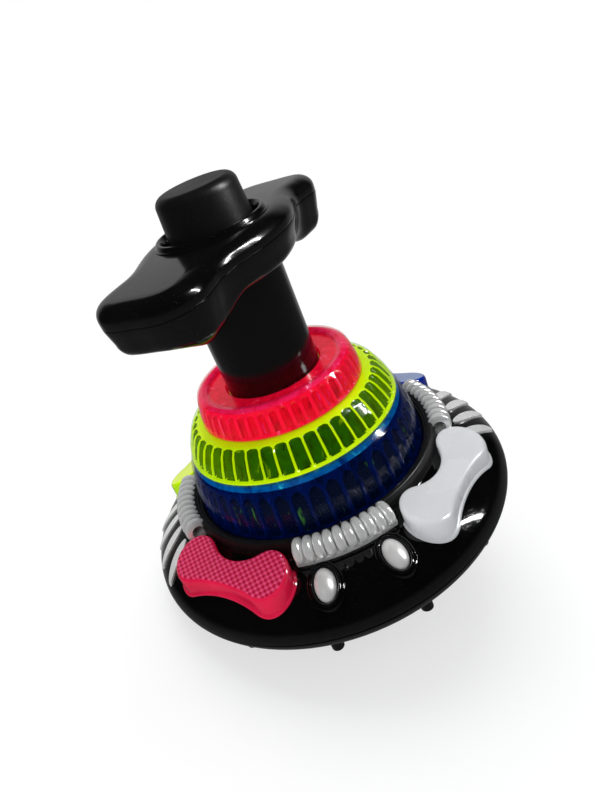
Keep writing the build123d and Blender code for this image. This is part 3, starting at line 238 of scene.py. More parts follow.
gloss = plastic(
    "gloss_black", (0.0022, 0.0022, 0.0024), (0.03, 0.09), 0.015, dust=0.025, coat=0.3, scratches=0.06,
)
handle_gloss = plastic(
    "handle_black", (0.0035, 0.0034, 0.0033), (0.13, 0.2), 0.04, dust=0.03, coat=0.25, scratches=0.05,
)
satin = plastic("satin_black", (0.006, 0.006, 0.0062), (0.34, 0.44), 0.12, 2200.0, dust=0.03)
barrel_black = plastic("barrel_black", (0.0022, 0.0022, 0.0022), (0.10, 0.18), 0.05, dust=0.02)
silver = plastic(
    "silver_paint", (0.96, 0.96, 0.95), (0.18, 0.28), 0.06, 900.0, metal=0.5, tint=0.06, coat=0.4,
)
satin_silver = plastic(
    "silver_satin", (0.90, 0.89, 0.88), (0.26, 0.38), 0.08, 1200.0, metal=0.45, tint=0.06,
)
bright_silver = plastic(
    "silver_bright", (0.95, 0.95, 0.94), (0.22, 0.34), 0.06, 900.0, metal=0.35, tint=0.05,
)
steel = plastic("steel_zinc", (0.55, 0.55, 0.54), (0.25, 0.4), 0.1, metal=1.0)
acetal = plastic("acetal_white", (0.70, 0.70, 0.68), (0.35, 0.5), 0.08, soft=0.1)
board = plastic("board_green", (0.02, 0.14, 0.05), (0.3, 0.45), 0.1)
lamp = plastic("lamp_orange", (0.9, 0.30, 0.03), (0.06, 0.1), 0.02, alpha=0.8, glow=0.6)
# The pink and yellow tier materials and the blue band glow a little: painted light, since the tiers are
# no lamps
pink_skin = clear("pink_skin", (1.0, 0.01, 0.08), 0.03, 0.10, 0.5)
pink_rib = streaked_with_painted_glints(
    "pink_rib", (0.75, 0.0, 0.015), (1.0, 0.004, 0.035), (1.0, 0.13, 0.30), scale=70.0, glow=0.32,
)
# The cell materials are darker copies of their tier's colour for the recessed cells: painted shade in
# the recesses
pink_cell_painted_shade = streaked_with_painted_glints(
    "pink_cell_painted_shade", (0.42, 0.0, 0.002), (0.85, 0.0, 0.012), (0.80, 0.03, 0.26), scale=80.0, glow=0.25,
)
pink_floor = streaked_with_painted_glints(
    "pink_floor", (0.85, 0.0, 0.02), (1.0, 0.015, 0.12), (1.0, 0.14, 0.40), scale=60.0, glow=0.25,
)
yellow_skin = clear("yellow_skin", (0.50, 1.0, 0.0), 0.03, 0.03, 0.5)
yellow_rib = plastic("yellow_rib", (0.66, 1.0, 0.0), (0.1, 0.18), coat=0.6, glow=0.25)
# Painted shade for the recessed cells of the yellow tier
yellow_cell_painted_shade = streaked_with_painted_glints(
    "yellow_cell_painted_shade", (0.001, 0.025, 0.0), (0.006, 0.10, 0.0), (0.25, 0.45, 0.0),
    scale=70.0, glow=0.04, coat=0.5,
)
blue_skin = clear("blue_skin", (0.0, 0.012, 0.14), 0.03, 0.06, 0.35)
# The blue band is a far brighter copy of the tier's blue, on its upward shoulder: painted highlight
blue_band_painted_highlight = streaked_with_painted_glints(
    "blue_band_painted_highlight", (0.0, 0.03, 0.20), (0.0, 0.14, 0.50), (0.02, 0.55, 0.80), scale=50.0, glow=0.06,
)
blue_rib = streaked_with_painted_glints(
    "blue_rib", (0.0006, 0.003, 0.02), (0.0, 0.006, 0.07), (0.0, 0.03, 0.30),
    scale=90.0, glow=0.0, coat=0.3,
)
# Painted shade for the recessed cells of the blue tier
blue_cell_painted_shade = streaked_with_painted_glints(
    "blue_cell_painted_shade", (0.0006, 0.002, 0.006), (0.0008, 0.004, 0.014), (0.06, 0.26, 0.02),
    scale=60.0, glow=0.0, coat=0.3,
)
red_top = prisms("red_prisms", (0.92, 0.006, 0.07), (1.0, 0.09, 0.26), 0.00105)
red_side = plastic("red_side", (0.85, 0.012, 0.07), (0.08, 0.15), coat=0.8, soft=0.2, tint=0.12)
white_lens = plastic(
    "white_milky", (0.76, 0.77, 0.79), (0.22, 0.32), 0.03, coat=0.25, soft=0.5, tint=0.03,
)
# The blue and yellow lens tops are lighter copies of their sides' colour: painted light on the upward
# faces; the yellow lens also glows as painted light
blue_top_painted_light = plastic("blue_top_painted_light", (0.20, 0.30, 0.62), (0.08, 0.15), coat=0.8, tint=0.15)
blue_side = plastic("blue_side", (0.0, 0.02, 0.42), (0.06, 0.12), coat=1.0, tint=0.3)
yellow_top_painted_light = plastic("yellow_top_painted_light", (0.72, 1.0, 0.02), (0.08, 0.15), coat=0.8, glow=0.2)
yellow_side = plastic("yellow_side", (0.50, 0.90, 0.0), (0.06, 0.12), coat=1.0, glow=0.14, tint=0.2)


# ---------------------------------------------------------------- mesh helpers
def piece(name, verts, faces, materials, body, nodes=(), marks=None, sharp=32.0):
    """A mesh object from points in millimetres, riding on a body and standing for CAD nodes."""
    mesh = bpy.data.meshes.new(name)
    mesh.from_pydata([tuple(c * MM for c in v) for v in verts], [], faces)
    for material in materials:
        mesh.materials.append(material)
    if marks:
        mesh.polygons.foreach_set("material_index", marks)
    work = bmesh.new()
    work.from_mesh(mesh)
    bmesh.ops.remove_doubles(work, verts=work.verts, dist=1e-7)
    bmesh.ops.recalc_face_normals(work, faces=work.faces)
    for face in work.faces:
        face.smooth = True
    for edge in work.edges:
        edge.smooth = len(edge.link_faces) != 2 or edge.calc_face_angle(0.0) < radians(sharp)
    work.to_mesh(mesh)
    work.free()
    made = bpy.data.objects.new(name, mesh)
    bpy.context.scene.collection.objects.link(made)
    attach(made, body)
    if nodes:
        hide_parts(*nodes)
    return made


def stack(rings, around=True, over=False, mark=None):
    """Faces between rings of equal length, with a material number for each face."""
    count, verts, faces, marks = len(rings[0]), [], [], []
    for ring in rings:
        verts.extend(ring)
    for i in range(len(rings) if over else len(rings) - 1):
        low, high = i * count, (i + 1) % len(rings) * count
        for j in range(count if around else count - 1):
            k = (j + 1) % count
            faces.append((low + j, low + k, high + k, high + j))
            marks.append(mark(i, j) if mark else 0)
    return verts, faces, marks


def rounded(corners, steps=6):
    """An outline whose (x, y, radius) corners are turned into arcs."""
    out = []
    for i, (x, y, radius) in enumerate(corners):
        here = Vector((x, y))
        if not radius:
            out.append((x, y))
            continue
        back = (Vector(corners[i - 1][:2]) - here).normalized()
        ahead = (Vector(corners[(i + 1) % len(corners)][:2]) - here).normalized()
        half = back.angle(ahead) / 2
        centre = here + (back + ahead).normalized() * (radius / sin(half))
        first = here + back * (radius / tan(half)) - centre
        last = here + ahead * (radius / tan(half)) - centre
        for k in range(steps + 1):
            spoke = centre + first.lerp(last, k / steps).normalized() * radius
            out.append((spoke.x, spoke.y))
    return out


def lathe(name, outline, materials, body, nodes=(), steps=240, closed=True,
          mark=None, wave=None):
    """A surface turned round the spin axis, its points shifted by wave and its faces marked by mark."""
    rings = []
    for r, z in outline:
        ring = []
        for j in range(steps):
            angle = 2 * pi * j / steps
            far, high = wave(r, z, angle) if wave else (r, z)
            ring.append((far * cos(angle), far * sin(angle), high))
        rings.append(ring)
    verts, faces, marks = stack(rings, True, closed, mark)
    return piece(name, verts, faces, materials, body, nodes, marks)


def spin(points, azimuth):
    """The points turned about the spin axis by an angle in degrees."""
    c, s = cos(radians(azimuth)), sin(radians(azimuth))
    return [(x * c - y * s, x * s + y * c, z) for x, y, z in points]


def flank_z(r):
    """Height of the elliptical flank at a radius."""
    share = min(1.0, max(0.0, (r - FLAT_R) / RIM_DEPTH))
    return RIM_Z + RIM_HEIGHT * sqrt(1 - share * share)


def blend01(value, low, high):
    """A smooth step from 0 at low to 1 at high."""
    t = min(1.0, max(0.0, (value - low) / (high - low)))
    return t * t * (3 - 2 * t)


# ---------------------------------------------------------------- saucer
def arc_of_flank(start, stop, steps):
    """Points (r, z) along the elliptical section, angles measured from the rim upwards."""
    turn = [radians(start + (stop - start) * k / steps) for k in range(steps + 1)]
    return [(FLAT_R + RIM_DEPTH * cos(t), RIM_Z + RIM_HEIGHT * sin(t)) for t in turn]


deck = rounded([
    (11.5, 33.6, 0), (11.5, DECK_Z, 0.2), (RING_INNER_R, DECK_Z, 0.3), (RING_INNER_R, 37.0, 0.25),
    (29.2, 37.0, 0.2), (29.2, 37.6, 0.2), (29.7, 37.6, 0.15), (29.7, RING_TOP_Z, 0.25),
    (30.7, RING_TOP_Z, 0.3), (RING_OUTER_R, 36.6, 0.3), (RING_OUTER_R, 34.6, 0.5),
    (32.2, 33.9, 0.6), (34.2, 33.0, 0),
])
hollow = [(44.7, SEAM_Z), (30.0, SEAM_Z), (30.0, 31.0), (20.0, 32.5)]
upper = deck + arc_of_flank(71.0, -4.0, 60) + hollow
# The deck and its ring are satin; the rounded foot of the ring, 14 rows, is glossy like the flank
satin_rows = len(deck) - 14
lathe("shell_flank", upper, [gloss, satin], "top", ["upper_shell"], 360,
      mark=lambda i, j: 1 if i < satin_rows else 0)


# ---------------------------------------------------------------- tiers
def cells(name, outline, low, high, count, share, depth, materials, arch, band_z):
    """The ribbed wall of a tier: ribs between recessed cells with rounded heads, under a plain band.

    share is the part of the pitch that a cell takes, and arch how far its head falls at the corners.
    """
    steps = count * 12

    def inside(z, angle):
        u = (angle * count / (2 * pi)) % 1.0
        across = abs(u - 0.5) / (share / 2)
        head = high - arch * across * across
        if across >= 1.25:
            return 0.0
        sides = 1 - blend01(across, 0.8, 1.15)
        return sides * blend01(z, low, low + 0.5) * (1 - blend01(z, head - 0.6, head))

    def wave(r, z, angle):
        return r - depth * inside(z, angle), z

    # The recessed cells take the third material, a darker copy of the tier's colour: painted shade in
    # the recesses
    def mark(i, j):
        z = outline[i][1]
        deep = inside(z, 2 * pi * (j + 0.5) / steps)
        return 2 if deep > 0.5 else 1 if z < band_z else 0

    return lathe(name, outline, materials, "top", (), steps, False, mark, wave)


def along(points, step):
    """The same open line with points no further apart than step."""
    out = [points[0]]
    for (r0, z0), (r1, z1) in zip(points, points[1:]):
        count = max(1, int(hypot(r1 - r0, z1 - z0) / step + 0.999))
        out += [(r0 + (r1 - r0) * k / count, z0 + (z1 - z0) * k / count) for k in range(1, count + 1)]
    return out


blue_outline = rounded([
    (17.8, 47.8, 0.2), (17.8, 49.3, 0.3), (26.2, 49.3, 3.0), (27.2, 45.3, 3.0), (27.9, 42.0, 4.0),
    (28.3, 37.5, 3.0), (28.4, 35.1, 0.3), (26.9, 35.1, 0.2), (26.4, 42.0, 4.0), (25.0, 47.8, 2.0),
])
yellow_outline = rounded([
    (14.5, 54.8, 0.2), (14.5, 56.3, 0.3), (22.6, 56.3, 1.7), (24.7, 52.4, 3.0), (25.75, 49.4, 0.25),
    (24.1, 49.4, 0.2), (23.1, 52.3, 3.0), (21.6, 54.8, 0.8),
])
pink_outline = rounded([
    (11.5, 60.7, 0.2), (11.5, 62.2, 0.2), (15.4, 62.2, 0.4), (15.9, 63.25, 0.5), (18.3, 63.25, 1.3),
    (19.35, 59.1, 4.0), (19.7, 56.4, 0.25), (18.1, 56.4, 0.2), (17.8, 59.0, 3.0), (17.2, 60.7, 0.6),
])
lathe("tier_blue_skin", blue_outline, [blue_skin], "top", ["tier_blue"])
lathe("tier_yellow_skin", yellow_outline, [yellow_skin], "top", ["tier_yellow"])
lathe("tier_pink_skin", pink_outline, [pink_skin], "top", ["tier_pink"])

blue_wall = [(28.1, 35.3), (28.0, 37.5), (27.6, 42.0), (26.9, 45.2), (26.1, 47.3), (25.1, 48.6),
             (23.7, 49.1), (18.0, 49.1)]
yellow_wall = [(25.5, 49.6), (24.5, 52.4), (23.2, 54.9), (22.4, 55.7), (21.4, 56.0), (20.8, 56.1),
               (14.6, 56.1)]
pink_wall = [(19.5, 56.6), (19.2, 59.0), (18.7, 61.4), (18.0, 62.6), (16.9, 63.1), (15.9, 62.9),
             (15.4, 62.05), (11.6, 62.05), (11.55, 60.75)]
cells("tier_blue_ribs", along(blue_wall, 0.3), low=36.3, high=46.6, count=44, share=0.74, depth=0.9,
      materials=[blue_band_painted_highlight, blue_rib, blue_cell_painted_shade], arch=1.6, band_z=47.6)
cells("tier_yellow_ribs", along(yellow_wall, 0.25), low=49.8, high=56.15, count=44, share=0.84,
      depth=1.0, materials=[yellow_rib, yellow_rib, yellow_cell_painted_shade], arch=0.1,
      band_z=56.0)
cells("tier_pink_ribs", along(pink_wall, 0.22), low=56.8, high=62.2, count=48, share=0.62, depth=0.45,
      materials=[pink_floor, pink_rib, pink_cell_painted_shade], arch=0.4, band_z=62.5)


# ---------------------------------------------------------------- lenses
def lens_outline(inset, steps=14):
    """Dog-bone outline of a lens about azimuth 0, shrunk by an inset."""
    lobe_r = LENS_LOBE_R - inset
    half = radians(LENS_LOBE_ANGLE)
    lobe_x, lobe_y = LENS_CIRCLE_R * cos(half), LENS_CIRCLE_R * sin(half)
    touches = []
    for side in (1, -1):
        waist_x = LENS_CIRCLE_R + side * (LENS_WAIST - inset)
        step = side * (waist_x - lobe_x)
        arc_r = (step * step + lobe_y * lobe_y - lobe_r * lobe_r) / (2 * (lobe_r - step))
        centre_x = waist_x + side * arc_r
        reach = hypot(centre_x - lobe_x, lobe_y)
        touch = Vector((lobe_x + lobe_r * (centre_x - lobe_x) / reach, lobe_y * (1 - lobe_r / reach)))
        touches.append((centre_x, touch))
    (outer_c, outer_t), (inner_c, inner_t) = touches
    lobe = Vector((lobe_x, lobe_y))

    def sweep(centre, start, stop, bulge):
        first, last = start - centre, stop - centre
        total = first.angle(last)
        if bulge:
            total = 2 * pi - total
        sign = 1 if (first.x * last.y - first.y * last.x > 0) != bulge else -1
        out = []
        for k in range(steps * (2 if bulge else 1)):
            a = sign * total * k / (steps * (2 if bulge else 1))
            x = centre.x + first.x * cos(a) - first.y * sin(a)
            out.append((x, centre.y + first.x * sin(a) + first.y * cos(a)))
        return out

    mirrored = Vector((lobe_x, -lobe_y))
    outer_low, inner_low = Vector((outer_t.x, -outer_t.y)), Vector((inner_t.x, -inner_t.y))
    points = sweep(Vector((outer_c, 0)), outer_low, outer_t, False)
    points += sweep(lobe, outer_t, inner_t, True)
    points += sweep(Vector((inner_c, 0)), inner_t, inner_low, False)
    points += sweep(mirrored, inner_low, outer_low, True)
    return points


def lens_top(x):
    """Height of the sloping top plane over a distance along azimuth 0."""
    return LENS_TOP_Z - (x - LENS_CIRCLE_R) * tan(radians(LENS_SLOPE))


def lens(name, azimuth, top_material, side_material):
    """A lens from rows of (inset, where, amount): a skirt following the flank, then a rounded top."""
    rings = []
    rows = [(-0.45, "skirt", -0.4), (-0.45, "skirt", 0.25), (-0.30, "skirt", 0.42), (0.0, "skirt", 0.5)]
    rows += [(0.0, "top", 0.95), (0.07, "top", 0.62), (0.22, "top", 0.33), (0.45, "top", 0.13)]
    rows += [(0.8, "top", 0.0)]
    rows += [(1.3, "top", 0.0), (1.75, "top", 0.0), (2.3, "top", 0.0), (2.7, "top", 0.0)]
    for inset, where, amount in rows:
        ring = []
        for x, y in lens_outline(inset):
            base = flank_z(hypot(x, y)) + amount
            high = lens_top(x) - amount
            ring.append((x, y, base if where == "skirt" else max(high, flank_z(hypot(x, y)) + 0.55)))
        rings.append(spin(ring, azimuth))
    verts, faces, marks = stack(rings, True, False, lambda i, j: 0 if i >= 7 else 1)
    count = len(rings[-1])
    faces.append(tuple(range(len(verts) - count, len(verts))))
    marks.append(0)
    node = name.replace("_shape", "")
    return piece(name, verts, faces, [top_material, side_material], "top", [node], marks)


lens("lens_red_shape", 225, red_top, red_side)
lens("lens_white_shape", 315, white_lens, white_lens)
lens("lens_blue_shape", 45, blue_top_painted_light, blue_side)
lens("lens_yellow_shape", 135, yellow_top_painted_light, yellow_side)


# ---------------------------------------------------------------- silver trim
def coil(name, azimuth, node):
    """A row of fat beads threaded round the corner of the deck, on a thin ledge."""
    pitch = 2 * COIL_HALF_ANGLE / (COIL_BEADS - 1)
    half = COIL_CIRCLE_R * radians(pitch) / 2
    verts, faces = [], []
    for number in range(COIL_BEADS):
        turn = azimuth - COIL_HALF_ANGLE + number * pitch
        rings = []
        for k in range(15):
            t = -1 + 2 * k / 14
            girth = BEAD_R * (1 - BEAD_PINCH * abs(t) ** 3.0) ** 0.5
            ring = []
            for j in range(28):
                a = 2 * pi * j / 28
                ring.append((COIL_CIRCLE_R + girth * cos(a), t * half * 1.02, COIL_Z + girth * sin(a)))
            rings.append(spin(ring, turn))
        more, sides, _ = stack(rings)
        faces += [tuple(len(verts) + v for v in face) for face in sides]
        verts += more
    rings = []
    reach = COIL_HALF_ANGLE + pitch / 2
    section = rounded([
        (31.0, 33.2, 0.1), (33.8, 33.2, 0.2), (34.1, 34.4, 0.3), (33.9, 35.0, 0.3), (31.0, 35.6, 0.1),
    ], 4)
    for k in range(41):
        angle = azimuth - reach + 2 * reach * k / 40
        rings.append(spin([(r, 0.0, z) for r, z in section], angle))
    more, sides, _ = stack(rings)
    ends = [tuple(range(len(section))), tuple(range(len(more) - len(section), len(more)))]
    faces += [tuple(len(verts) + v for v in face) for face in sides + ends]
    verts += more
    return piece(name, verts, faces, [silver], "top", [node], sharp=50.0)


for side, middle in (("front", 270), ("right", 0), ("back", 90), ("left", 180)):
    coil(f"beads_{side}", middle, f"coil_trim_{side}")


def flank_frame(r, azimuth):
    """Origin, down-slope, sideways and outward directions on the flank."""
    slope = (RIM_HEIGHT / RIM_DEPTH) ** 2 * (r - FLAT_R) / (flank_z(r) - RIM_Z)
    x, y = cos(radians(azimuth)), sin(radians(azimuth))
    down = Vector((x, y, -slope)).normalized()
    out = Vector((slope * x, slope * y, 1)).normalized()
    return Vector((r * x, r * y, flank_z(r))), down, out.cross(down), out


def domed(name, azimuth, rows, material, nodes):
    """Ellipses of growing size stacked out of the flank: rows of (long, short, height)."""
    origin, down, side, out = flank_frame(STUD_R, azimuth)
    rings = []
    for long, short, height in rows:
        ring = []
        for j in range(64):
            a = 2 * pi * j / 64
            ring.append(tuple(origin + down * (long * cos(a)) + side * (short * sin(a)) + out * height))
        rings.append(ring)
    verts, faces, _ = stack(rings)
    return piece(name, verts, faces, [material], "top", nodes, sharp=60.0)


for side, middle in (("front", 270), ("back", 90)):
    for number, offset in enumerate(STUD_OFFSETS, 1):
        dome = []
        for k in range(17):
            t = radians(90 * k / 16)
            long, short = max(0.001, STUD_LONG * cos(t)), max(0.001, STUD_SHORT * cos(t))
            dome.append((long, short, STUD_SHORT * sin(t)))
        domed(f"oval_{side}_{number}", middle + offset, [(STUD_LONG, STUD_SHORT, -0.8)] + dome,
              satin_silver, [f"oval_stud_{side}_{number}"])
        rows = []
        for margin, height in BEZEL_STEPS:
            rows.append((STUD_LONG + margin, STUD_SHORT + margin, height))
        domed(f"bezel_{side}_{number}", middle + offset, rows, gloss, ["upper_shell"])


# ---------------------------------------------------------------- launcher
barrel = rounded([(9.6, 60.5, 0.1), (11.0, 60.5, 0.5), (11.0, 87.9, 0), (9.6, 87.9, 0)])
lathe("barrel_tube", barrel, [barrel_black], "launcher", ["barrel"])

button = rounded([
    (0.001, 105.9, 0), (8.6, 105.9, 2.1), (9.2, 96.9, 3.0),
    (9.2, 92.6, 0), (8.0, 92.6, 0), (0.001, 103.5, 0),
], 10)
lathe("button_cap", button, [satin], "button", ["release_button"], closed=False)

collar = rounded([
    (9.75, 93.2, 0), (9.75, 95.2, 0.1), (10.5, 95.2, 0.1),
    (10.5, 96.9, 0.2), (11.0, 97.9, 0.35), (11.7, 97.9, 0.4),
    (12.1, 97.0, 0.3), (12.5, 97.0, 0.15), (12.7, 96.4, 0.1), (11.2, 96.2, 0), (11.2, 93.2, 0),
])
lathe("collar_ring", collar, [handle_gloss], "launcher", ["button_collar"])

verts, faces = [], []
for number in range(COLLAR_RIBS):
    box = []
    for z in (95.2, 96.5):
        for x, y in ((9.9, -0.35), (10.6, -0.35), (10.6, 0.35), (9.9, 0.35)):
            box.append((x, y, z))
    start = len(verts)
    verts += spin(box, number * 360 / COLLAR_RIBS)
    for face in ((3, 2, 1, 0), (4, 5, 6, 7), (0, 1, 5, 4), (1, 2, 6, 5), (2, 3, 7, 6), (3, 0, 4, 7)):
        faces.append(tuple(start + v for v in face))
piece("collar_ribs", verts, faces, [handle_gloss], "launcher", ["button_collar"])


def handle_outline():
    """Smooth closed outline of the handle in its own axes, a curve through a quarter's points."""
    quarter = [(HANDLE_HALF_LENGTH, 0.0), (HANDLE_HALF_LENGTH, 4.0), (31.7, 7.6), (29.2, 10.4),
               (25.6, 11.7), (22.0, 11.6), (18.5, 11.3), (15.0, 12.0), (11.0, 13.5), (6.0, 15.1),
               (0.0, 15.9)]
    half = quarter + [(-x, y) for x, y in reversed(quarter[:-1])]
    full = half + [(x, -y) for x, y in reversed(half[1:-1])]
    out, count = [], len(full)
    for i in range(count):
        p0, p1, p2, p3 = (Vector(full[(i + k) % count]) for k in (-1, 0, 1, 2))
        for k in range(8):
            t = k / 8
            square, cube = 2 * p0 - 5 * p1 + 4 * p2 - p3, 3 * p1 - p0 - 3 * p2 + p3
            out.append(0.5 * ((2 * p1) + (p2 - p0) * t + square * t * t + cube * t ** 3))
    return out


def parting_z(x):
    """Height of the line between the two halves of the handle."""
    return HUB_PARTING_Z - (HUB_PARTING_Z - TIP_PARTING_Z) * (x / HANDLE_HALF_LENGTH) ** 2


def crown_z(x):
    """Height of the handle's top, falling towards the tips."""
    return HUB_TOP_Z - (HUB_TOP_Z - TIP_TOP_Z) * (abs(x) / HANDLE_HALF_LENGTH) ** 1.7


def keel_z(x):
    """Underside of the handle: shallow at the hub, deep along each lobe, lifting at the tip."""
    far = abs(x)
    deep = blend01(far, 11.5, 20.5)
    lift = blend01(far, 25.0, 31.5)
    return HUB_BOTTOM_Z + (LOBE_BOTTOM_Z - HUB_BOTTOM_Z) * deep + TIP_LIFT * lift


def handle_half(name, rows, edge_z, inner_r, material, nodes):
    """Rings from the parting line inwards, then a surface in to a round hole at the hub."""
    outline = handle_outline()
    count = len(outline)
    normals = []
    for i in range(count):
        run = outline[(i + 1) % count] - outline[i - 1]
        normals.append(Vector((-run.y, run.x)).normalized())
    rings = []
    for inset, share in rows:
        ring = []
        for point, normal in zip(outline, normals):
            at = point + normal * inset * (1 - 0.35 * blend01(abs(point.x), 24.0, HANDLE_HALF_LENGTH))
            start = parting_z(at.x)
            ring.append((at.x, at.y, start + (edge_z(at.x) - start) * share))
        rings.append(ring)
    last = rings[-1]
    for k in range(1, 13):
        t = k / 12
        ring = []
        for x, y, _ in last:
            reach = hypot(x, y)
            r = reach + (inner_r - reach) * t
            px, py = x / reach * r, y / reach * r
            ring.append((px, py, edge_z(px)))
        rings.append(ring)
    rings = [spin(ring, HANDLE_AZIMUTH) for ring in rings]
    verts, faces, _ = stack(rings)
    return piece(name, verts, faces, [material], "launcher", nodes, sharp=40.0)


upper_rows = [(0.9, -0.02), (0.16, 0.0), (0.03, 0.035), (0.0, 0.10)]
for k in range(9):
    t = radians(90 * k / 8)
    upper_rows.append((HANDLE_SHOULDER * (1 - cos(t)), 0.32 + 0.68 * sin(t)))
handle_half("handle_top_half", upper_rows, crown_z, 11.2, handle_gloss, ["handle_upper"])
lower_rows = [(0.9, 0.01), (0.22, 0.0), (0.05, 0.012), (0.02, 0.04), (0.3, 0.2), (0.7, 0.4)]
for k in range(9):
    t = radians(90 * k / 8)
    lower_rows.append((1.1 + 2.9 * (1 - cos(t)), 0.58 + 0.42 * sin(t)))
handle_half("handle_bottom_half", lower_rows, keel_z, 11.05, handle_gloss, ["handle_lower"])


# ---------------------------------------------------------------- carried-over CAD nodes
finishes = {
    "lower_shell": gloss, "spin_tip": steel, "shell_screws": steel, "battery_door": satin,
    "door_screw": steel, "battery_cells": steel, "battery_contacts": steel, "circuit_board": board,
    "board_screws": steel, "chip_blob": satin, "leds": lamp, "vibration_switch": steel,
    "speaker": satin, "launch_socket": satin, "socket_screws": steel, "vent_trim_right": bright_silver,
    "vent_trim_left": bright_silver, "drive_rotor": acetal, "ratchet_wheel": acetal,
    "barrel_bush": acetal, "spring_seat": acetal, "wind_spring": steel, "ratchet_pawl": acetal,
    "handle_screws": steel, "button_spring": steel, "push_rod": steel,
}
for node, material in finishes.items():
    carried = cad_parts[node]
    for place in carried.material_slots:
        place.material = material


# ---------------------------------------------------------------- stage
# A tilted sheet under the leaning top: part of its light is its own, and it fades out with distance
FLOOR_TONE, FLOOR_GLOW = 0.45, 0.62
FLOOR_FADE = (0.16, 0.40)
FLOOR_STEPS = 96
lean = radians(LEAN)
up = Vector((sin(lean), 0.0, cos(lean)))
rest = up * (TIP_R * (cos(lean) - 1.0))
tilt = up.to_track_quat("Z", "Y")
floor_mesh = bpy.data.meshes.new("floor")
floor_rings = []
for r in (420.0, 260.0, 160.0, 100.0, 60.0, 30.0, 0.001):
    ring = []
    for j in range(FLOOR_STEPS):
        angle = 2 * pi * j / FLOOR_STEPS
        ring.append(tuple(tilt @ Vector((r * cos(angle), r * sin(angle), 0)) + rest))
    floor_rings.append(ring)
verts, faces, _ = stack(floor_rings)
floor_mesh.from_pydata([tuple(c * MM for c in v) for v in verts], [], faces)
floor = bpy.data.objects.new("floor", floor_mesh)
bpy.context.scene.collection.objects.link(floor)
floor.visible_glossy = False
paper, nodes, links, base = shader("floor_paper")
base.inputs["Base Color"].default_value = (FLOOR_TONE, FLOOR_TONE, FLOOR_TONE, 1.0)
base.inputs["Roughness"].default_value = 0.7
base.inputs["Specular IOR Level"].default_value = 0.2
side_of = nodes.new("ShaderNodeNewGeometry")
away = nodes.new("ShaderNodeVectorMath")
away.operation = "LENGTH"
links.new(side_of.outputs["Position"], away.inputs[0])
fade = nodes.new("ShaderNodeMapRange")
fade.inputs["From Min"].default_value, fade.inputs["From Max"].default_value = FLOOR_FADE
links.new(away.outputs["Value"], fade.inputs["Value"])
hidden = nodes.new("ShaderNodeMath")
hidden.operation = "MAXIMUM"
links.new(fade.outputs["Result"], hidden.inputs[0])
links.new(side_of.outputs["Backfacing"], hidden.inputs[1])
see_through = nodes.new("ShaderNodeBsdfTransparent")
both = nodes.new("ShaderNodeMixShader")
links.new(hidden.outputs["Value"], both.inputs["Fac"])
links.new(base.outputs["BSDF"], both.inputs[1])
links.new(see_through.outputs["BSDF"], both.inputs[2])
links.new(both.outputs["Shader"], nodes["Material Output"].inputs["Surface"])
base.inputs["Emission Color"].default_value = (1.0, 1.0, 1.0, 1.0)
base.inputs["Emission Strength"].default_value = FLOOR_GLOW
floor_mesh.materials.append(paper)

# ---------------------------------------------------------------- light
world = bpy.data.worlds.new("studio")
bpy.context.scene.world = world
world.use_nodes = True
nodes, links = world.node_tree.nodes, world.node_tree.links
place = nodes.new("ShaderNodeTexCoord")
apart = nodes.new("ShaderNodeSeparateXYZ")
links.new(place.outputs["Generated"], apart.inputs["Vector"])


def band(socket, low, high, start, stop):
    """A smooth step between two directions of the sky."""
    made = nodes.new("ShaderNodeMapRange")
    made.interpolation_type = "SMOOTHSTEP"
    for key, value in (("From Min", low), ("From Max", high), ("To Min", start), ("To Max", stop)):
        made.inputs[key].default_value = value
    links.new(apart.outputs[socket], made.inputs["Value"])
    return made.outputs["Result"]


def joined(operation, first, second):
    """One value made from two by a mathematical operation."""
    made = nodes.new("ShaderNodeMath")
    made.operation = operation
    links.new(first, made.inputs[0])
    links.new(second, made.inputs[1])
    return made.outputs["Value"]


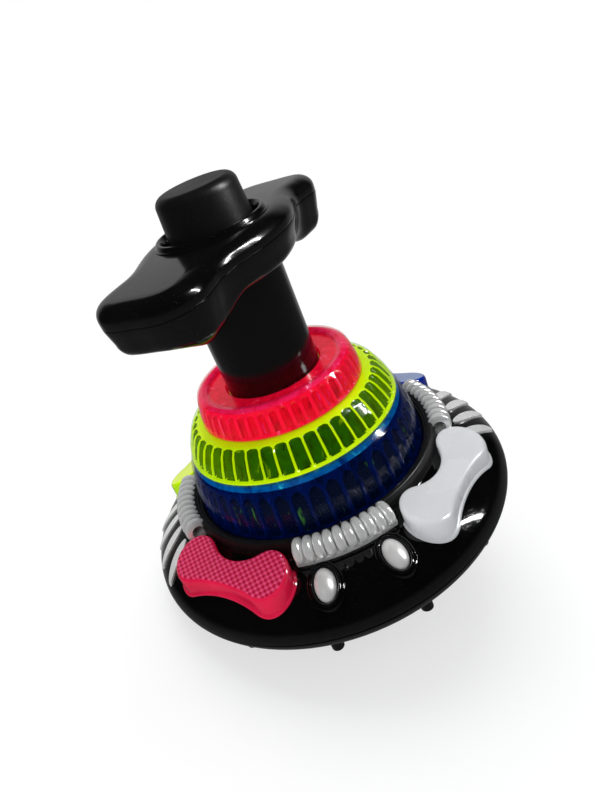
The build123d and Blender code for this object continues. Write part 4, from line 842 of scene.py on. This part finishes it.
# Gloss sees a bright wall behind and a bright ground in a dark room; matt surfaces see an even sky
wall = joined("MULTIPLY", band("Y", 0.55, 0.95, 0.0, 7.0), band("Z", 0.30, 0.6, 1.0, 0.02))
room = joined("ADD", wall, band("Z", -0.35, 0.05, 1.7, 0.03))
reflected = nodes["Background"]
links.new(room, reflected.inputs["Strength"])
even = put(nodes, "ShaderNodeBackground", Strength=0.45, Color=(0.97, 0.985, 1.0, 1))
backdrop = put(nodes, "ShaderNodeBackground", Strength=1.0, Color=(1, 1, 1, 1))
path = nodes.new("ShaderNodeLightPath")
by_gloss = nodes.new("ShaderNodeMixShader")
links.new(path.outputs["Is Glossy Ray"], by_gloss.inputs["Fac"])
links.new(even.outputs["Background"], by_gloss.inputs[1])
links.new(reflected.outputs["Background"], by_gloss.inputs[2])
by_view = nodes.new("ShaderNodeMixShader")
links.new(path.outputs["Is Camera Ray"], by_view.inputs["Fac"])
links.new(by_gloss.outputs["Shader"], by_view.inputs[1])
links.new(backdrop.outputs["Background"], by_view.inputs[2])
links.new(by_view.outputs["Shader"], nodes["World Output"].inputs["Surface"])


def softbox(name, azimuth, elevation, distance, width, height, power, target=(0, 0, 0.05)):
    """A rectangular light aimed at the target from a distance in metres."""
    light = bpy.data.lights.new(name, "AREA")
    light.shape = "RECTANGLE"
    light.size, light.size_y, light.energy = width, height, power
    made = bpy.data.objects.new(name, light)
    a, e = radians(azimuth), radians(elevation)
    aim = Vector(target)
    made.location = aim + distance * Vector((cos(e) * cos(a), cos(e) * sin(a), sin(e)))
    made.rotation_euler = (aim - made.location).to_track_quat("-Z", "Y").to_euler()
    bpy.context.scene.collection.objects.link(made)
    return made


# The overhead and fill lights shade the matt surfaces; the window only shines in the gloss
overhead = softbox("overhead", 60, 66, distance=0.8, width=0.7, height=0.7, power=4.0)
overhead.visible_glossy = False
fill = softbox("fill", 235, 40, distance=0.9, width=0.6, height=0.6, power=1.8)
fill.visible_glossy = False
window = softbox("window", 346, 27, distance=0.8, width=0.035, height=0.50, power=6.0)
window.visible_diffuse = False

# ---------------------------------------------------------------- camera
# Place in body radii from the rim's centre, and turns in degrees
CAMERA_BACK, CAMERA_RISE = 3.0344, 2.2735
CAMERA_TURNS = (59.824, 19.933, -12.452)
camera = bpy.data.cameras.new("camera")
camera.lens, camera.sensor_width, camera.sensor_fit = 30.0, 36.0, "AUTO"
camera.clip_start = 0.01
viewer = bpy.data.objects.new("camera", camera)
bpy.context.scene.collection.objects.link(viewer)
viewer.location = (0.0, -CAMERA_BACK * BASE_R * MM, (RIM_Z + CAMERA_RISE * BASE_R) * MM)
viewer.rotation_euler = Euler([radians(turn) for turn in CAMERA_TURNS], "XYZ")
bpy.context.scene.camera = viewer
bpy.context.scene.view_settings.view_transform = "Standard"
bpy.context.scene.view_settings.look = "None"
